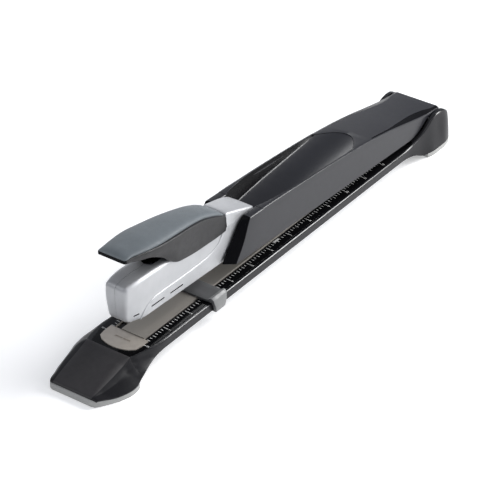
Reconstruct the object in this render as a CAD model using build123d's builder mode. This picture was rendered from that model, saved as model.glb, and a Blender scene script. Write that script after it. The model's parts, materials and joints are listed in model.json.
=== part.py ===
from build123d import *

import os

os.makedirs("parts", exist_ok=True)

# A long-reach desk stapler. Millimetres, +X right, +Y to the rear, +Z up, table at Z = 0.
# Side-view and plan positions are given as distances behind the staple line, where the ruler
# starts. The arm, head and handle are drawn with the arm level, then swung up to their rest.

# ---- driving dimensions -------------------------------------------------------------------
STAPLE_Y = -170.0  # the staple line, forward of the middle of the base

PAD_T = 4.0  # rubber foot pads
RAIL_HALF = 24.8
RAIL_BOTTOM = 9.7
DECK_Z = 16.6  # top of the base between the feet
PANEL_T = 1.0  # inlaid ruler panel
PANEL_HALF = 22.2
SKIN = 2.4  # wall of the large mouldings
REAR_END = 402.0

ANVIL_T = 0.8
DECK_PLATE_T = 1.4
DECK_PLATE_HALF = 13.0
STIFFENER_T = 1.2

PIVOT_S = 374.0  # arm hinge, behind the staple line
PIVOT_Z = 21.0
SHAFT_R = 3.0
REST_TILT = 2.35  # degrees the spring holds the nose up
ARM_BOTTOM = 19.6
ARM_HALF_LOW = 21.9
ARM_HALF_TOP = 20.4
ARM_WALL = 2.5
ARM_FRONT_CUT = 142.0  # the head sits between two prongs ahead of this
PRONG_INNER = 13.2
CHEEK_INNER = 22.4

FRAME_HALF = 12.4  # long steel channel inside the arm
FRAME_T = 1.5
FRAME_TOP = 28.8
FRAME_START = 104.0

HEAD_HALF = 11.3
HEAD_WALL = 2.0
HEAD_TOP = 52.0
HEAD_END = 140.0
SEAM_GAP = 0.02

HANDLE_PIN_S = 100.0
HANDLE_PIN_Z = 48.0
HANDLE_PIN_R = 2.0
SKIRT_INNER = 11.6

LEVER_PIN_S = 40.0
LEVER_PIN_Z = 40.0
LEVER_PIN_R = 1.5
CONTACT_S = 70.0  # where the handle rib meets the lever
STRIKER_S = -3.2
STRIKER_T = 0.6
STRIKER_HALF = 6.2

MAGAZINE_HALF = 7.45
MAGAZINE_T = 1.0
MAGAZINE_START = -2.6
MAGAZINE_END = 103.5
TRACK_BOTTOM = 19.8
TRACK_WALL_OUT = 5.8
TRACK_END = 107.0

GUIDE_S = 77.0  # middle of the sliding paper guide at rest
GUIDE_LENGTH = 18.0
GUIDE_CLEAR = 0.25

PIVOT_Y = STAPLE_Y + PIVOT_S
RAISED = Pos(0, PIVOT_Y, PIVOT_Z) * Rot(X=-REST_TILT) * Pos(0, -PIVOT_Y, -PIVOT_Z)


def side(*points):
    """Side-view points: distance behind the staple line, height."""
    return [(STAPLE_Y + s, z) for s, z in points]


def plan(*half, left=None):
    """A closed plan outline: half-width, distance behind the staple line. Both hands are the
    same unless the left has points of its own."""
    right = [(x, STAPLE_Y + s) for x, s in half]
    return right + [(-x, STAPLE_Y + s) for x, s in reversed(left or half)]


def across(x, s, z):
    """A plane facing +X at a point, for pins and screws that run across the stapler."""
    return Plane((x, STAPLE_Y + s, z), x_dir=(0, 1, 0), z_dir=(1, 0, 0))


def upward(x, s, z):
    """A plane facing +Z at a point, for screws and rivets that stand upright."""
    return Plane((x, STAPLE_Y + s, z))


# ---- outlines shared by several pieces ----------------------------------------------------
FRONT_PAD_PLAN = ((18.0, -62.0), (26.6, -52.0), (32.0, -40.0), (33.3, -32.0), (32.0, -25.0))
FRONT_FOOT_PLAN = FRONT_PAD_PLAN + ((27.5, -8.0), (RAIL_HALF, 10.0))
# the left side of the front foot spreads in a straighter line and is widest further back
FRONT_PAD_LEFT = ((18.0, -62.0), (24.8, -50.0), (28.6, -37.0), (30.2, -31.0), (31.6, -25.0))
FRONT_FOOT_LEFT = FRONT_PAD_LEFT + ((33.3, -21.0), (RAIL_HALF, 14.0))
FRONT_DECK_PLAN = (
    (15.5, -19.0),
    (18.3, -17.0),
    (20.4, -12.0),
    (21.6, -8.0),
    (22.6, -3.0),
    (24.0, 5.0),
    (RAIL_HALF, 14.0),
)
REAR_PAD_PLAN = (
    (30.0, 358.0),
    (31.6, 367.0),
    (31.6, 380.0),
    (30.2, 388.0),
    (25.5, 396.0),
    (18.0, REAR_END),
)
REAR_FOOT_PLAN = ((RAIL_HALF, 326.0), (25.4, 336.0), (27.5, 348.0)) + REAR_PAD_PLAN
PANEL_PLAN = (
    (15.0, -17.2),
    (17.4, -15.6),
    (19.4, -10.5),
    (20.6, -5.0),
    (21.6, 1.0),
    (PANEL_HALF, 8.0),
    (PANEL_HALF, 345.0),
)
DECK_SCREWS = (30.0, 110.0, 190.0, 270.0, 335.0)
# side view of the hollow behind the deck that the rear of the arm swings in
WELL_FLOOR = 8.0
WELL_BACK = 391.0
WELL = side(
    (325, DECK_Z),
    (352, DECK_Z),
    (358, WELL_FLOOR),
    (WELL_BACK, WELL_FLOOR),
    (WELL_BACK, 24),
    (410, 24),
    (410, 45),
    (325, 45),
)
ARM_SCREW_SPOTS = [(x, s) for s in (165, 320) for x in (9.3, -9.3)]
RIVET_SPOTS = [(x, s) for s in (112, 130) for x in (4, -4)]
ROD_Z = 23.4  # pusher rod, between the walls of the staple track
ROD_R = 0.8
LATCH_S = 119.0
LATCH_Z = 23.0
LATCH_PIN_R = 1.0
CUT = 50  # longer than any wall, for cuts that go right through

# ===========================================================================================
# Base
# ===========================================================================================
with BuildPart() as base_shell:
    # rear housing: a flared plan cut to the rising line of its cheeks
    with BuildSketch(Plane.XY.offset(PAD_T)):
        Polygon(*plan(*REAR_FOOT_PLAN), align=None)
    extrude(amount=30, taper=2)
    with BuildSketch(Plane.YZ):
        with BuildLine():
            Polyline(*side((384, 31), (371, 31.8)))
            TangentArc(*side((330, DECK_Z), (371, 31.8)), tangent=(1, 0))
            Polyline(*side((330, DECK_Z), (326, DECK_Z), (326, RAIL_BOTTOM), (335, RAIL_BOTTOM)))
            Polyline(*side((335, RAIL_BOTTOM), (345, 7.5), (353, PAD_T), (REAR_END, PAD_T)))
            Polyline(*side((REAR_END, PAD_T), (REAR_END, 12)))
            ThreePointArc(*side((REAR_END, 12), (396.5, 25), (384, 31)))
        make_face()
    extrude(amount=CUT, both=True, mode=Mode.INTERSECT)
    # rail
    with BuildSketch(Plane.XY.offset(RAIL_BOTTOM)):
        Polygon(*plan((RAIL_HALF, 5), (RAIL_HALF, 328)), align=None)
    extrude(amount=DECK_Z - RAIL_BOTTOM)
    # front foot with its ramp
    with BuildSketch(Plane.XY.offset(PAD_T)):
        Polygon(*plan(*FRONT_FOOT_PLAN, left=FRONT_FOOT_LEFT), align=None)
    with BuildSketch(Plane.XY.offset(DECK_Z)):
        Polygon(*plan(*FRONT_DECK_PLAN), align=None)
    loft(ruled=True)
    with BuildSketch(Plane.YZ):
        Polygon(*side((-21, PAD_T), (12, RAIL_BOTTOM), (16, RAIL_BOTTOM), (16, 0), (-21, 0)), align=None)
    extrude(amount=CUT, both=True, mode=Mode.SUBTRACT)
    # underside: hollow rail, hollow feet
    with BuildSketch(Plane.XY):
        Polygon(*plan((RAIL_HALF - SKIN, 14), (RAIL_HALF - SKIN, 344)), align=None)
    extrude(amount=DECK_Z - PANEL_T - SKIN, mode=Mode.SUBTRACT)
    with BuildSketch(Plane.YZ):
        Polygon(
            *side((-50, PAD_T), (-26, PAD_T), (-12, 6.5), (-12, 12.6), (-22, 12.6), (-50, 5)),
            align=None,
        )
    extrude(amount=16, both=True, mode=Mode.SUBTRACT)
    with BuildSketch(Plane.XY.offset(PAD_T)):
        with Locations((26.4, STAPLE_Y + 374), (-26.4, STAPLE_Y + 374)):
            RectangleRounded(3.0, 18, 1.2)
    extrude(amount=8, mode=Mode.SUBTRACT)
    # recess for the ruler panel, and the well that the arm swings in
    with BuildSketch(Plane.XY.offset(DECK_Z - PANEL_T)):
        Polygon(*plan(*PANEL_PLAN), align=None)
    extrude(amount=PANEL_T, mode=Mode.SUBTRACT)
    with BuildSketch(Plane.YZ):
        Polygon(*WELL, align=None)
    extrude(amount=CHEEK_INNER, both=True, mode=Mode.SUBTRACT)
    # blind seats for the hinge shaft, holes for the deck screws
    with BuildSketch(Plane.YZ):
        with Locations((PIVOT_Y, PIVOT_Z)):
            Circle(SHAFT_R + 0.01)
    extrude(amount=CHEEK_INNER + 3.2, both=True, mode=Mode.SUBTRACT)
    with BuildSketch(Plane.XY.offset(DECK_Z - PANEL_T)):
        with Locations(*[(0, STAPLE_Y + s) for s in DECK_SCREWS]):
            Circle(1.6)
    extrude(amount=-8, mode=Mode.SUBTRACT)
base_shell.part.label = "base_shell"
export_step(base_shell.part, "parts/base_shell.step")

with BuildPart() as ruler_panel:
    with BuildSketch(Plane.XY.offset(DECK_Z - PANEL_T)):
        Polygon(*plan(*PANEL_PLAN), align=None)
        with Locations(*[(0, STAPLE_Y + s) for s in DECK_SCREWS]):
            Circle(1.6, mode=Mode.SUBTRACT)
    extrude(amount=PANEL_T)
ruler_panel.part.label = "ruler_panel"
export_step(ruler_panel.part, "parts/ruler_panel.step")

with BuildPart() as front_foot_pad:
    with BuildSketch():
        Polygon(*plan(*FRONT_PAD_PLAN, left=FRONT_PAD_LEFT), align=None)
    extrude(amount=PAD_T)
    chamfer(front_foot_pad.edges().group_by(Axis.Z)[0], 0.5)
front_foot_pad.part.label = "front_foot_pad"
export_step(front_foot_pad.part, "parts/front_foot_pad.step")

with BuildPart() as rear_foot_pad:
    with BuildSketch():
        Polygon(*plan(*REAR_PAD_PLAN), align=None)
    extrude(amount=PAD_T)
    chamfer(rear_foot_pad.edges().group_by(Axis.Z)[0], 0.5)
rear_foot_pad.part.label = "rear_foot_pad"
export_step(rear_foot_pad.part, "parts/rear_foot_pad.step")

with BuildPart() as base_stiffener:
    ceiling = DECK_Z - PANEL_T - SKIN
    half = RAIL_HALF - SKIN - 0.3
    with BuildSketch(Plane.XZ.offset(-(STAPLE_Y + 16))):
        Polygon((-half, 10.2), (-half, ceiling), (half, ceiling), (half, 10.2), align=None)
        Polygon(
            (-half + STIFFENER_T, 10),
            (-half + STIFFENER_T, ceiling - STIFFENER_T),
            (half - STIFFENER_T, ceiling - STIFFENER_T),
            (half - STIFFENER_T, 10),
            align=None,
            mode=Mode.SUBTRACT,
        )
    extrude(amount=-325)
    with BuildSketch(Plane.XY.offset(5)):
        with Locations(*[(0, STAPLE_Y + s) for s in DECK_SCREWS]):
            Circle(1.6)
    extrude(amount=15, mode=Mode.SUBTRACT)
base_stiffener.part.label = "base_stiffener"
export_step(base_stiffener.part, "parts/base_stiffener.step")

with BuildPart() as deck_plate:
    with BuildSketch(Plane.XY.offset(DECK_Z)):
        Polygon(*plan((DECK_PLATE_HALF, 5.2), (DECK_PLATE_HALF, 344)), align=None)
        with Locations((-10.1, STAPLE_Y + 9.5)):
            Rectangle(5.2, 8.6, mode=Mode.SUBTRACT)
    extrude(amount=DECK_PLATE_T)
    with BuildSketch(Plane.XY.offset(DECK_Z)):
        with Locations(*[(0, STAPLE_Y + s) for s in DECK_SCREWS]):
            Circle(1.5)
    extrude(amount=DECK_PLATE_T - 0.4, mode=Mode.SUBTRACT)
deck_plate.part.label = "deck_plate"
export_step(deck_plate.part, "parts/deck_plate.step")

with BuildPart() as anvil_plate:
    with BuildSketch(Plane.XY.offset(DECK_Z)):
        with BuildLine():
            Polyline(*plan((12.3, -11.9), (15.9, -8.6), (16.8, -3), (16.8, 5.0)))
            ThreePointArc((-12.3, STAPLE_Y - 11.9), (0, STAPLE_Y - 14.7), (12.3, STAPLE_Y - 11.9))
        make_face()
    extrude(amount=ANVIL_T)
    # the two clinching grooves, one for each leg of the staple
    with BuildSketch(Plane.XY.offset(DECK_Z + ANVIL_T)):
        with Locations((3.7, STAPLE_Y + STRIKER_S), (-3.7, STAPLE_Y + STRIKER_S)):
            SlotOverall(6.4, 1.8)
    extrude(amount=-0.45, mode=Mode.SUBTRACT)
anvil_plate.part.label = "anvil_plate"
export_step(anvil_plate.part, "parts/anvil_plate.step")

with BuildPart() as base_screws:
    for s in DECK_SCREWS:
        with BuildSketch(upward(0, s, DECK_Z - PANEL_T - SKIN - STIFFENER_T - 1.6)):
            Circle(2.8)
        extrude(amount=1.6)
        with BuildSketch(upward(0, s, DECK_Z - PANEL_T - SKIN - STIFFENER_T)):
            Circle(1.45)
        extrude(amount=SKIN + STIFFENER_T + PANEL_T + DECK_PLATE_T - 0.5)
base_screws.part.label = "base_screws"
export_step(base_screws.part, "parts/base_screws.step")

with BuildPart() as arm_pivot_shaft:
    with BuildSketch(across(0, PIVOT_S, PIVOT_Z)):
        Circle(SHAFT_R)
    extrude(amount=CHEEK_INNER + 3.0, both=True)
    chamfer(arm_pivot_shaft.edges().filter_by(GeomType.CIRCLE), 0.4)
arm_pivot_shaft.part.label = "arm_pivot_shaft"
export_step(arm_pivot_shaft.part, "parts/arm_pivot_shaft.step")

with BuildPart() as hinge_spacers:
    for x in (FRAME_HALF + 1.6, -CHEEK_INNER + 0.1):
        with BuildSketch(across(x, PIVOT_S, PIVOT_Z)):
            Circle(4.6)
            Circle(SHAFT_R + 0.05, mode=Mode.SUBTRACT)
        extrude(amount=CHEEK_INNER - FRAME_HALF - 1.7)
hinge_spacers.part.label = "hinge_spacers"
export_step(hinge_spacers.part, "parts/hinge_spacers.step")

# torsion spring wound on the shaft: one leg on the floor of the well, one under the arm
LIFT_COIL_R = 4.7
LIFT_COIL_LENGTH = 15.2
LIFT_WIRE_R = 0.6
with BuildPart() as lift_spring:
    with BuildLine():
        coil = Helix(
            pitch=1.9,
            height=LIFT_COIL_LENGTH,
            radius=LIFT_COIL_R,
            center=(-LIFT_COIL_LENGTH / 2, PIVOT_Y, PIVOT_Z),
            direction=(1, 0, 0),
        )
    with BuildSketch(Plane(origin=coil @ 0, z_dir=coil % 0)):
        Circle(LIFT_WIRE_R)
    sweep()
    for end, heading in ((coil @ 0, -(coil % 0)), (coil @ 1, coil % 1)):
        with BuildSketch(Plane(origin=end, z_dir=heading)):
            Circle(LIFT_WIRE_R)
        extrude(amount=7)
lift_spring.part.label = "lift_spring"
export_step(lift_spring.part, "parts/lift_spring.step")

with BuildPart() as paper_guide:
    low = DECK_Z + GUIDE_CLEAR
    over = DECK_Z + DECK_PLATE_T + 0.15
    top = ARM_BOTTOM - 0.3
    inner = RAIL_HALF + GUIDE_CLEAR
    hook = RAIL_BOTTOM - GUIDE_CLEAR
    step = DECK_PLATE_HALF + 0.4
    half_section = (
        (0, top),
        (22.3, top),
        (23.6, 20.8),
        (25.8, 21.2),
        (27.6, 19.6),
        (28.4, 12.5),
        (27.6, 8.0),
        (22.4, 8.0),
        (22.4, hook),
        (inner, hook),
        (inner, low),
        (step, low),
        (step, over),
        (0, over),
    )
    with BuildSketch(Plane.XZ.offset(-(STAPLE_Y + GUIDE_S))):
        Polygon(*half_section, align=None)
        mirror(about=Plane.YZ)
    extrude(amount=GUIDE_LENGTH / 2, both=True)
paper_guide.part.label = "paper_guide"
export_step(paper_guide.part, "parts/paper_guide.step")

# ===========================================================================================
# Arm: drawn level, then swung up about the hinge
# ===========================================================================================
ARM_CROWN = side(
    (122.4, 50.0),
    (145, 50.4),
    (197, 49.1),
    (251, 47.0),
    (310, 42.0),
    (350, 36.6),
    (386, 31.0),
)
SLOPE = 0.104  # the trough floor rises to the rear
TROUGH_HALF = 16.0
TROUGH_DIP = 3.4
with BuildPart() as arm_shell:
    with BuildSketch(Plane.YZ):
        with BuildLine():
            Spline(*ARM_CROWN)
            Polyline(*side((386, 31), (387, 27), (375, 30), (369, 31), (346, ARM_BOTTOM)))
            Polyline(*side((346, ARM_BOTTOM), (103.2, ARM_BOTTOM)))
            ThreePointArc(*side((103.2, ARM_BOTTOM), (114.6, 34.0), (122.4, 50.0)))
        make_face()
    extrude(amount=ARM_HALF_LOW, both=True)
    with BuildSketch(Plane.XZ):
        Polygon(
            (-ARM_HALF_LOW, ARM_BOTTOM),
            (ARM_HALF_LOW, ARM_BOTTOM),
            (ARM_HALF_TOP, 52),
            (-ARM_HALF_TOP, 52),
            align=None,
        )
    extrude(amount=400, both=True, mode=Mode.INTERSECT)
    # open channel inside, under the crown
    with BuildSketch(Plane.YZ):
        Polygon(
            *side((ARM_FRONT_CUT, 10), (400, 10), (400, 24.8), (376, 28.6), (340, 34.0)),
            *side((ARM_FRONT_CUT, 29.4)),
            align=None,
        )
    extrude(amount=ARM_HALF_TOP - ARM_WALL, both=True, mode=Mode.SUBTRACT)
    # deep trough along the top, running out to the rear
    trough = Plane((0, STAPLE_Y + 161, 37.2), x_dir=(1, 0, 0), z_dir=(0, -1, -SLOPE))
    with BuildSketch(trough):
        with BuildLine():
            ThreePointArc((-TROUGH_HALF, 0), (0, -TROUGH_DIP), (TROUGH_HALF, 0))
            Polyline((TROUGH_HALF, 0), (TROUGH_HALF, 40), (-TROUGH_HALF, 40), (-TROUGH_HALF, 0))
        make_face()
    extrude(amount=140, both=True, mode=Mode.SUBTRACT)
    # mouth between the prongs, for the head
    with BuildSketch(Plane.XY):
        Polygon(*plan((PRONG_INNER, 90), (PRONG_INNER, ARM_FRONT_CUT)), align=None)
    extrude(amount=80, mode=Mode.SUBTRACT)
    # bosses for the arm screws
    for x, s in ARM_SCREW_SPOTS:
        with BuildSketch(upward(x, s, FRAME_TOP)):
            Circle(2.4)
        extrude(until=Until.NEXT)
        with BuildSketch(upward(x, s, FRAME_TOP)):
            Circle(1.0)
        extrude(amount=3.5, mode=Mode.SUBTRACT)
arm_shell.part.label = "arm_shell"
arm_shell.part.move(RAISED)
export_step(arm_shell.part, "parts/arm_shell.step")

with BuildPart() as arm_frame:
    with BuildSketch(Plane.YZ):
        Polygon(
            *side(
                (FRAME_START, 20.4),
                (352, 20.4),
                (PIVOT_S - 3, 14.8),
                (PIVOT_S, 14.0),
                (PIVOT_S + 6, 17.0),
                (PIVOT_S + 7, 21.0),
                (PIVOT_S + 4, 26.0),
                (356, FRAME_TOP),
                (FRAME_START, FRAME_TOP),
            ),
            align=None,
        )
    extrude(amount=FRAME_HALF, both=True)
    with BuildSketch(Plane.YZ):
        Polygon(
            *side((90, 10), (400, 10), (400, 40), (352, 40)),
            *side((352, FRAME_TOP - FRAME_T), (90, FRAME_TOP - FRAME_T)),
            align=None,
        )
    extrude(amount=FRAME_HALF - FRAME_T, both=True, mode=Mode.SUBTRACT)
    with BuildSketch(Plane.YZ):
        with Locations((PIVOT_Y, PIVOT_Z)):
            Circle(4.0)
    extrude(amount=FRAME_HALF, both=True, mode=Mode.SUBTRACT)
    with BuildSketch(Plane.XY.offset(FRAME_TOP)):
        with Locations(*[(x, STAPLE_Y + s) for x, s in ARM_SCREW_SPOTS]):
            Circle(1.1)
        with Locations(*[(x, STAPLE_Y + s) for x, s in RIVET_SPOTS]):
            Circle(1.5)
    extrude(amount=-FRAME_T, mode=Mode.SUBTRACT)
arm_frame.part.label = "arm_frame"
arm_frame.part.move(RAISED)
export_step(arm_frame.part, "parts/arm_frame.step")

with BuildPart() as pivot_bushes:
    for direction in (1, -1):
        inner_face = direction * (FRAME_HALF - FRAME_T)
        with BuildSketch(across(inner_face, PIVOT_S, PIVOT_Z)):
            Circle(4.0)
            Circle(SHAFT_R + 0.04, mode=Mode.SUBTRACT)
        extrude(amount=direction * FRAME_T)
        with BuildSketch(across(direction * FRAME_HALF, PIVOT_S, PIVOT_Z)):
            Circle(5.4)
            Circle(SHAFT_R + 0.04, mode=Mode.SUBTRACT)
        extrude(amount=direction * 1.2)
pivot_bushes.part.label = "pivot_bushes"
pivot_bushes.part.move(RAISED)
export_step(pivot_bushes.part, "parts/pivot_bushes.step")

ARM_SCREW_HEAD = 1.2
with BuildPart() as arm_screws:
    for x, s in ARM_SCREW_SPOTS:
        with BuildSketch(upward(x, s, FRAME_TOP - FRAME_T - ARM_SCREW_HEAD)):
            Circle(1.5)
        extrude(amount=ARM_SCREW_HEAD)
        with BuildSketch(upward(x, s, FRAME_TOP - FRAME_T)):
            Circle(0.95)
        extrude(amount=FRAME_T + 3.2)
arm_screws.part.label = "arm_screws"
arm_screws.part.move(RAISED)
export_step(arm_screws.part, "parts/arm_screws.step")

# ---- head -----------------------------------------------------------------------------------
HEAD_SCREWS = ((20, 34.9), (86, 37), (122, 38))
HEAD_POST_R = 1.7
HEAD_SCREW_R = 1.0
for label, hand in (("head_shell_right", 1), ("head_shell_left", -1)):
    with BuildPart() as head_shell:
        with BuildSketch(across(hand * SEAM_GAP / 2, 0, 0)):
            with BuildLine():
                ThreePointArc((-6.1, ARM_BOTTOM + 0.1), (-9.9, 28.0), (-11.3, 38.0))
                Polyline((-11.3, 38), (-11.2, 46.5))
                ThreePointArc((-11.2, 46.5), (-9.6, 49.0), (-6.5, 50.0))
                Polyline((-6.5, 50), (0, 51.6), (8, HEAD_TOP), (104.6, HEAD_TOP), (104.6, 46))
                Polyline((104.6, 46), (HEAD_END, 46), (HEAD_END, FRAME_TOP + 0.2))
                Polyline((HEAD_END, FRAME_TOP + 0.2), (FRAME_START - 0.2, FRAME_TOP + 0.2))
                Polyline(
                    (FRAME_START - 0.2, FRAME_TOP + 0.2),
                    (FRAME_START - 0.2, ARM_BOTTOM + 0.1),
                    (-6.1, ARM_BOTTOM + 0.1),
                )
            make_face()
        extrude(amount=hand * (HEAD_HALF - SEAM_GAP / 2))
        # the nose narrows in plan
        with BuildSketch(Plane.XY):
            with BuildLine():
                start = (hand * 8.4, STAPLE_Y - 11.4)
                end = (hand * HEAD_HALF, STAPLE_Y + 6)
                ThreePointArc(start, (hand * 10.5, STAPLE_Y - 5.0), end)
                Polyline(end, (hand * 20, STAPLE_Y + 6), (hand * 20, STAPLE_Y - 30))
                Polyline((hand * 20, STAPLE_Y - 30), (hand * 8.4, STAPLE_Y - 30), start)
            make_face()
        extrude(amount=80, mode=Mode.SUBTRACT)
        # hollow inside, open below for the magazine and above under the handle
        with BuildSketch(across(0, 0, 0)):
            with BuildLine():
                Polyline((-5.0, 10), (-5.0, ARM_BOTTOM + 3), (-9.2, 36), (-9.2, 46), (-6, 48), (10, 49.6))
                Polyline((10, 49.6), (102.4, 49.6), (102.4, 44), (150, 44), (150, 10), (-5.0, 10))
            make_face()
        extrude(amount=hand * 8.0, mode=Mode.SUBTRACT)
        with BuildSketch(across(0, 0, 0)):
            Polygon((6, 10), (6, 49.6), (102.4, 49.6), (102.4, 44), (150, 44), (150, 10), align=None)
        extrude(amount=hand * (HEAD_HALF - HEAD_WALL), mode=Mode.SUBTRACT)
        with BuildSketch(Plane.XY.offset(45)):
            Polygon(*plan((5.0, 25), (5.0, 103.4)), align=None)
        extrude(amount=20, mode=Mode.SUBTRACT)
        # staple sight slots low on the side
        for slot_start, slot_end in ((-2.6, 2.7), (15.4, 30.5), (37.6, 52.4)):
            with BuildSketch(across(0, (slot_start + slot_end) / 2, 24.2)):
                Rectangle(slot_end - slot_start, 1.0)
            extrude(amount=hand * 20, mode=Mode.SUBTRACT)
        # screw posts and the seats of the two pins
        for s, z in HEAD_SCREWS:
            with BuildSketch(across(hand * SEAM_GAP / 2, s, z)):
                Circle(HEAD_POST_R)
            extrude(amount=hand * (HEAD_HALF - 1.0))
            with BuildSketch(across(0, s, z)):
                Circle(HEAD_SCREW_R + 0.05)
            extrude(amount=hand * (HEAD_HALF - 3.0), mode=Mode.SUBTRACT)
        with BuildSketch(across(0, HANDLE_PIN_S, HANDLE_PIN_Z)):
            Circle(HANDLE_PIN_R + 0.02)
        extrude(amount=hand * 20, mode=Mode.SUBTRACT)
        with BuildSketch(across(0, LEVER_PIN_S, LEVER_PIN_Z)):
            Circle(LEVER_PIN_R + 0.02)
        extrude(amount=hand * (HEAD_HALF - 1.0), mode=Mode.SUBTRACT)
    head_shell.part.label = label
    head_shell.part.move(RAISED)
    export_step(head_shell.part, "parts/" + label + ".step")

with BuildPart() as head_yoke:
    with BuildSketch(Plane.YZ):
        Polygon(
            *side((105.4, 46.2), (105.8, 56.8), (107.6, 58.0), (138.5, 50.6), (141.2, 48.6), (141.2, 46.2)),
            align=None,
        )
    extrude(amount=12.4, both=True)
    with BuildSketch(Plane.XY.offset(40)):
        Polygon(*plan((10.3, 100), (12.4, 128), (12.4, 145)), align=None)
    extrude(amount=20, mode=Mode.INTERSECT)
    fillet(head_yoke.edges().filter_by(Axis.Z).group_by(Axis.Y)[-1], 4)
    with BuildSketch(Plane.YZ):
        Polygon(*side((107.4, 46), (107.4, 54.8), (136, 48.2), (136, 46)), align=None)
    extrude(amount=8.3, both=True, mode=Mode.SUBTRACT)
head_yoke.part.label = "head_yoke"
head_yoke.part.move(RAISED)
export_step(head_yoke.part, "parts/head_yoke.step")

HEAD_FRAME_T = 1.0
with BuildPart() as head_frame:
    with BuildSketch(Plane.YZ):
        Polygon(
            *side(
                (8, FRAME_TOP),
                (136, FRAME_TOP),
                (136, 40),
                (112, 43.6),
                (102.2, 43.6),
                (102.2, 49.2),
                (95, 49.2),
                (88, 42),
                (8, 43.5),
            ),
            align=None,
        )
    extrude(amount=8.2, both=True)
    with BuildSketch(Plane.YZ):
        Polygon(
            *side((0, FRAME_TOP + HEAD_FRAME_T), (150, FRAME_TOP + HEAD_FRAME_T), (150, 60), (0, 60)),
            align=None,
        )
    extrude(amount=7.0, both=True, mode=Mode.SUBTRACT)
    # clearance for the screw posts, seats for the pins, rivet holes
    for s, z in HEAD_SCREWS:
        with BuildSketch(across(0, s, z)):
            Circle(HEAD_POST_R + 0.2)
        extrude(amount=20, both=True, mode=Mode.SUBTRACT)
    with BuildSketch(across(0, HANDLE_PIN_S, HANDLE_PIN_Z - 2.2)):
        SlotCenterToCenter(4.4, 2 * HANDLE_PIN_R + 0.04, rotation=90)
    extrude(amount=20, both=True, mode=Mode.SUBTRACT)
    with BuildSketch(across(0, LEVER_PIN_S, LEVER_PIN_Z)):
        Circle(LEVER_PIN_R + 0.02)
    extrude(amount=20, both=True, mode=Mode.SUBTRACT)
    with BuildSketch(Plane.XY.offset(FRAME_TOP)):
        with Locations(*[(x, STAPLE_Y + s) for x, s in RIVET_SPOTS]):
            Circle(1.5)
    extrude(amount=HEAD_FRAME_T, mode=Mode.SUBTRACT)
head_frame.part.label = "head_frame"
head_frame.part.move(RAISED)
export_step(head_frame.part, "parts/head_frame.step")

with BuildPart() as frame_rivets:
    for x, s in RIVET_SPOTS:
        with BuildSketch(upward(x, s, FRAME_TOP - FRAME_T)):
            Circle(1.48)
        extrude(amount=FRAME_T + HEAD_FRAME_T)
        with BuildSketch(upward(x, s, FRAME_TOP + HEAD_FRAME_T)):
            Circle(2.4)
        extrude(amount=0.8)
frame_rivets.part.label = "frame_rivets"
frame_rivets.part.move(RAISED)
export_step(frame_rivets.part, "parts/frame_rivets.step")

with BuildPart() as nose_guide:
    with BuildSketch(across(0, 0, 0)):
        Polygon((-4.7, 20.2), (-3.7, 20.2), (-3.7, 46), (-4.7, 46), align=None)
    extrude(amount=7.6, both=True)
nose_guide.part.label = "nose_guide"
nose_guide.part.move(RAISED)
export_step(nose_guide.part, "parts/nose_guide.step")

with BuildPart() as magazine_channel:
    with BuildSketch(Plane.XZ.offset(-(STAPLE_Y + MAGAZINE_START))):
        inner = MAGAZINE_HALF - MAGAZINE_T
        Polygon(
            (-MAGAZINE_HALF, 20.2),
            (-MAGAZINE_HALF, FRAME_TOP),
            (MAGAZINE_HALF, FRAME_TOP),
            (MAGAZINE_HALF, 20.2),
            (inner, 20.2),
            (inner, FRAME_TOP - MAGAZINE_T),
            (-inner, FRAME_TOP - MAGAZINE_T),
            (-inner, 20.2),
            align=None,
        )
    extrude(amount=-(MAGAZINE_END - MAGAZINE_START))
magazine_channel.part.label = "magazine_channel"
magazine_channel.part.move(RAISED)
export_step(magazine_channel.part, "parts/magazine_channel.step")

# the leaf that stores the energy of the stroke, anchored behind and reaching the striker
with BuildPart() as power_spring:
    with BuildSketch(Plane.YZ):
        with BuildLine():
            Polyline(*side((98, 30.0), (62, 30.0)))
            Spline(*side((62, 30.0), (30, 31.6), (-1.6, 31.0)))
            Polyline(*side((-1.6, 31.0), (-1.6, 32.2)))
            Spline(*side((-1.6, 32.2), (30, 32.8), (62, 31.4)))
            Polyline(*side((62, 31.4), (98, 31.4), (98, 30.0)))
        make_face()
    extrude(amount=4.5, both=True)
power_spring.part.label = "power_spring"
power_spring.part.move(RAISED)
export_step(power_spring.part, "parts/power_spring.step")

with BuildPart() as spring_anchor:
    with BuildSketch(Plane.YZ):
        Polygon(
            *side((92, 31.6), (92, 34), (100.5, 34), (100.5, FRAME_TOP + HEAD_FRAME_T)),
            *side((98.3, FRAME_TOP + HEAD_FRAME_T), (98.3, 31.6)),
            align=None,
        )
    extrude(amount=6.8, both=True)
spring_anchor.part.label = "spring_anchor"
spring_anchor.part.move(RAISED)
export_step(spring_anchor.part, "parts/spring_anchor.step")

with BuildPart() as handle_pin:
    with BuildSketch(across(0, HANDLE_PIN_S, HANDLE_PIN_Z)):
        Circle(HANDLE_PIN_R)
    extrude(amount=12.4, both=True)
handle_pin.part.label = "handle_pin"
handle_pin.part.move(RAISED)
export_step(handle_pin.part, "parts/handle_pin.step")

with BuildPart() as lever_pin:
    with BuildSketch(across(0, LEVER_PIN_S, LEVER_PIN_Z)):
        Circle(LEVER_PIN_R)
    extrude(amount=10.2, both=True)
lever_pin.part.label = "lever_pin"
lever_pin.part.move(RAISED)
export_step(lever_pin.part, "parts/lever_pin.step")

with BuildPart() as head_screws:
    for s, z in HEAD_SCREWS:
        with BuildSketch(across(0, s, z)):
            Circle(HEAD_SCREW_R)
        extrude(amount=8.0, both=True)
head_screws.part.label = "head_screws"
head_screws.part.move(RAISED)
export_step(head_screws.part, "parts/head_screws.step")

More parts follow.
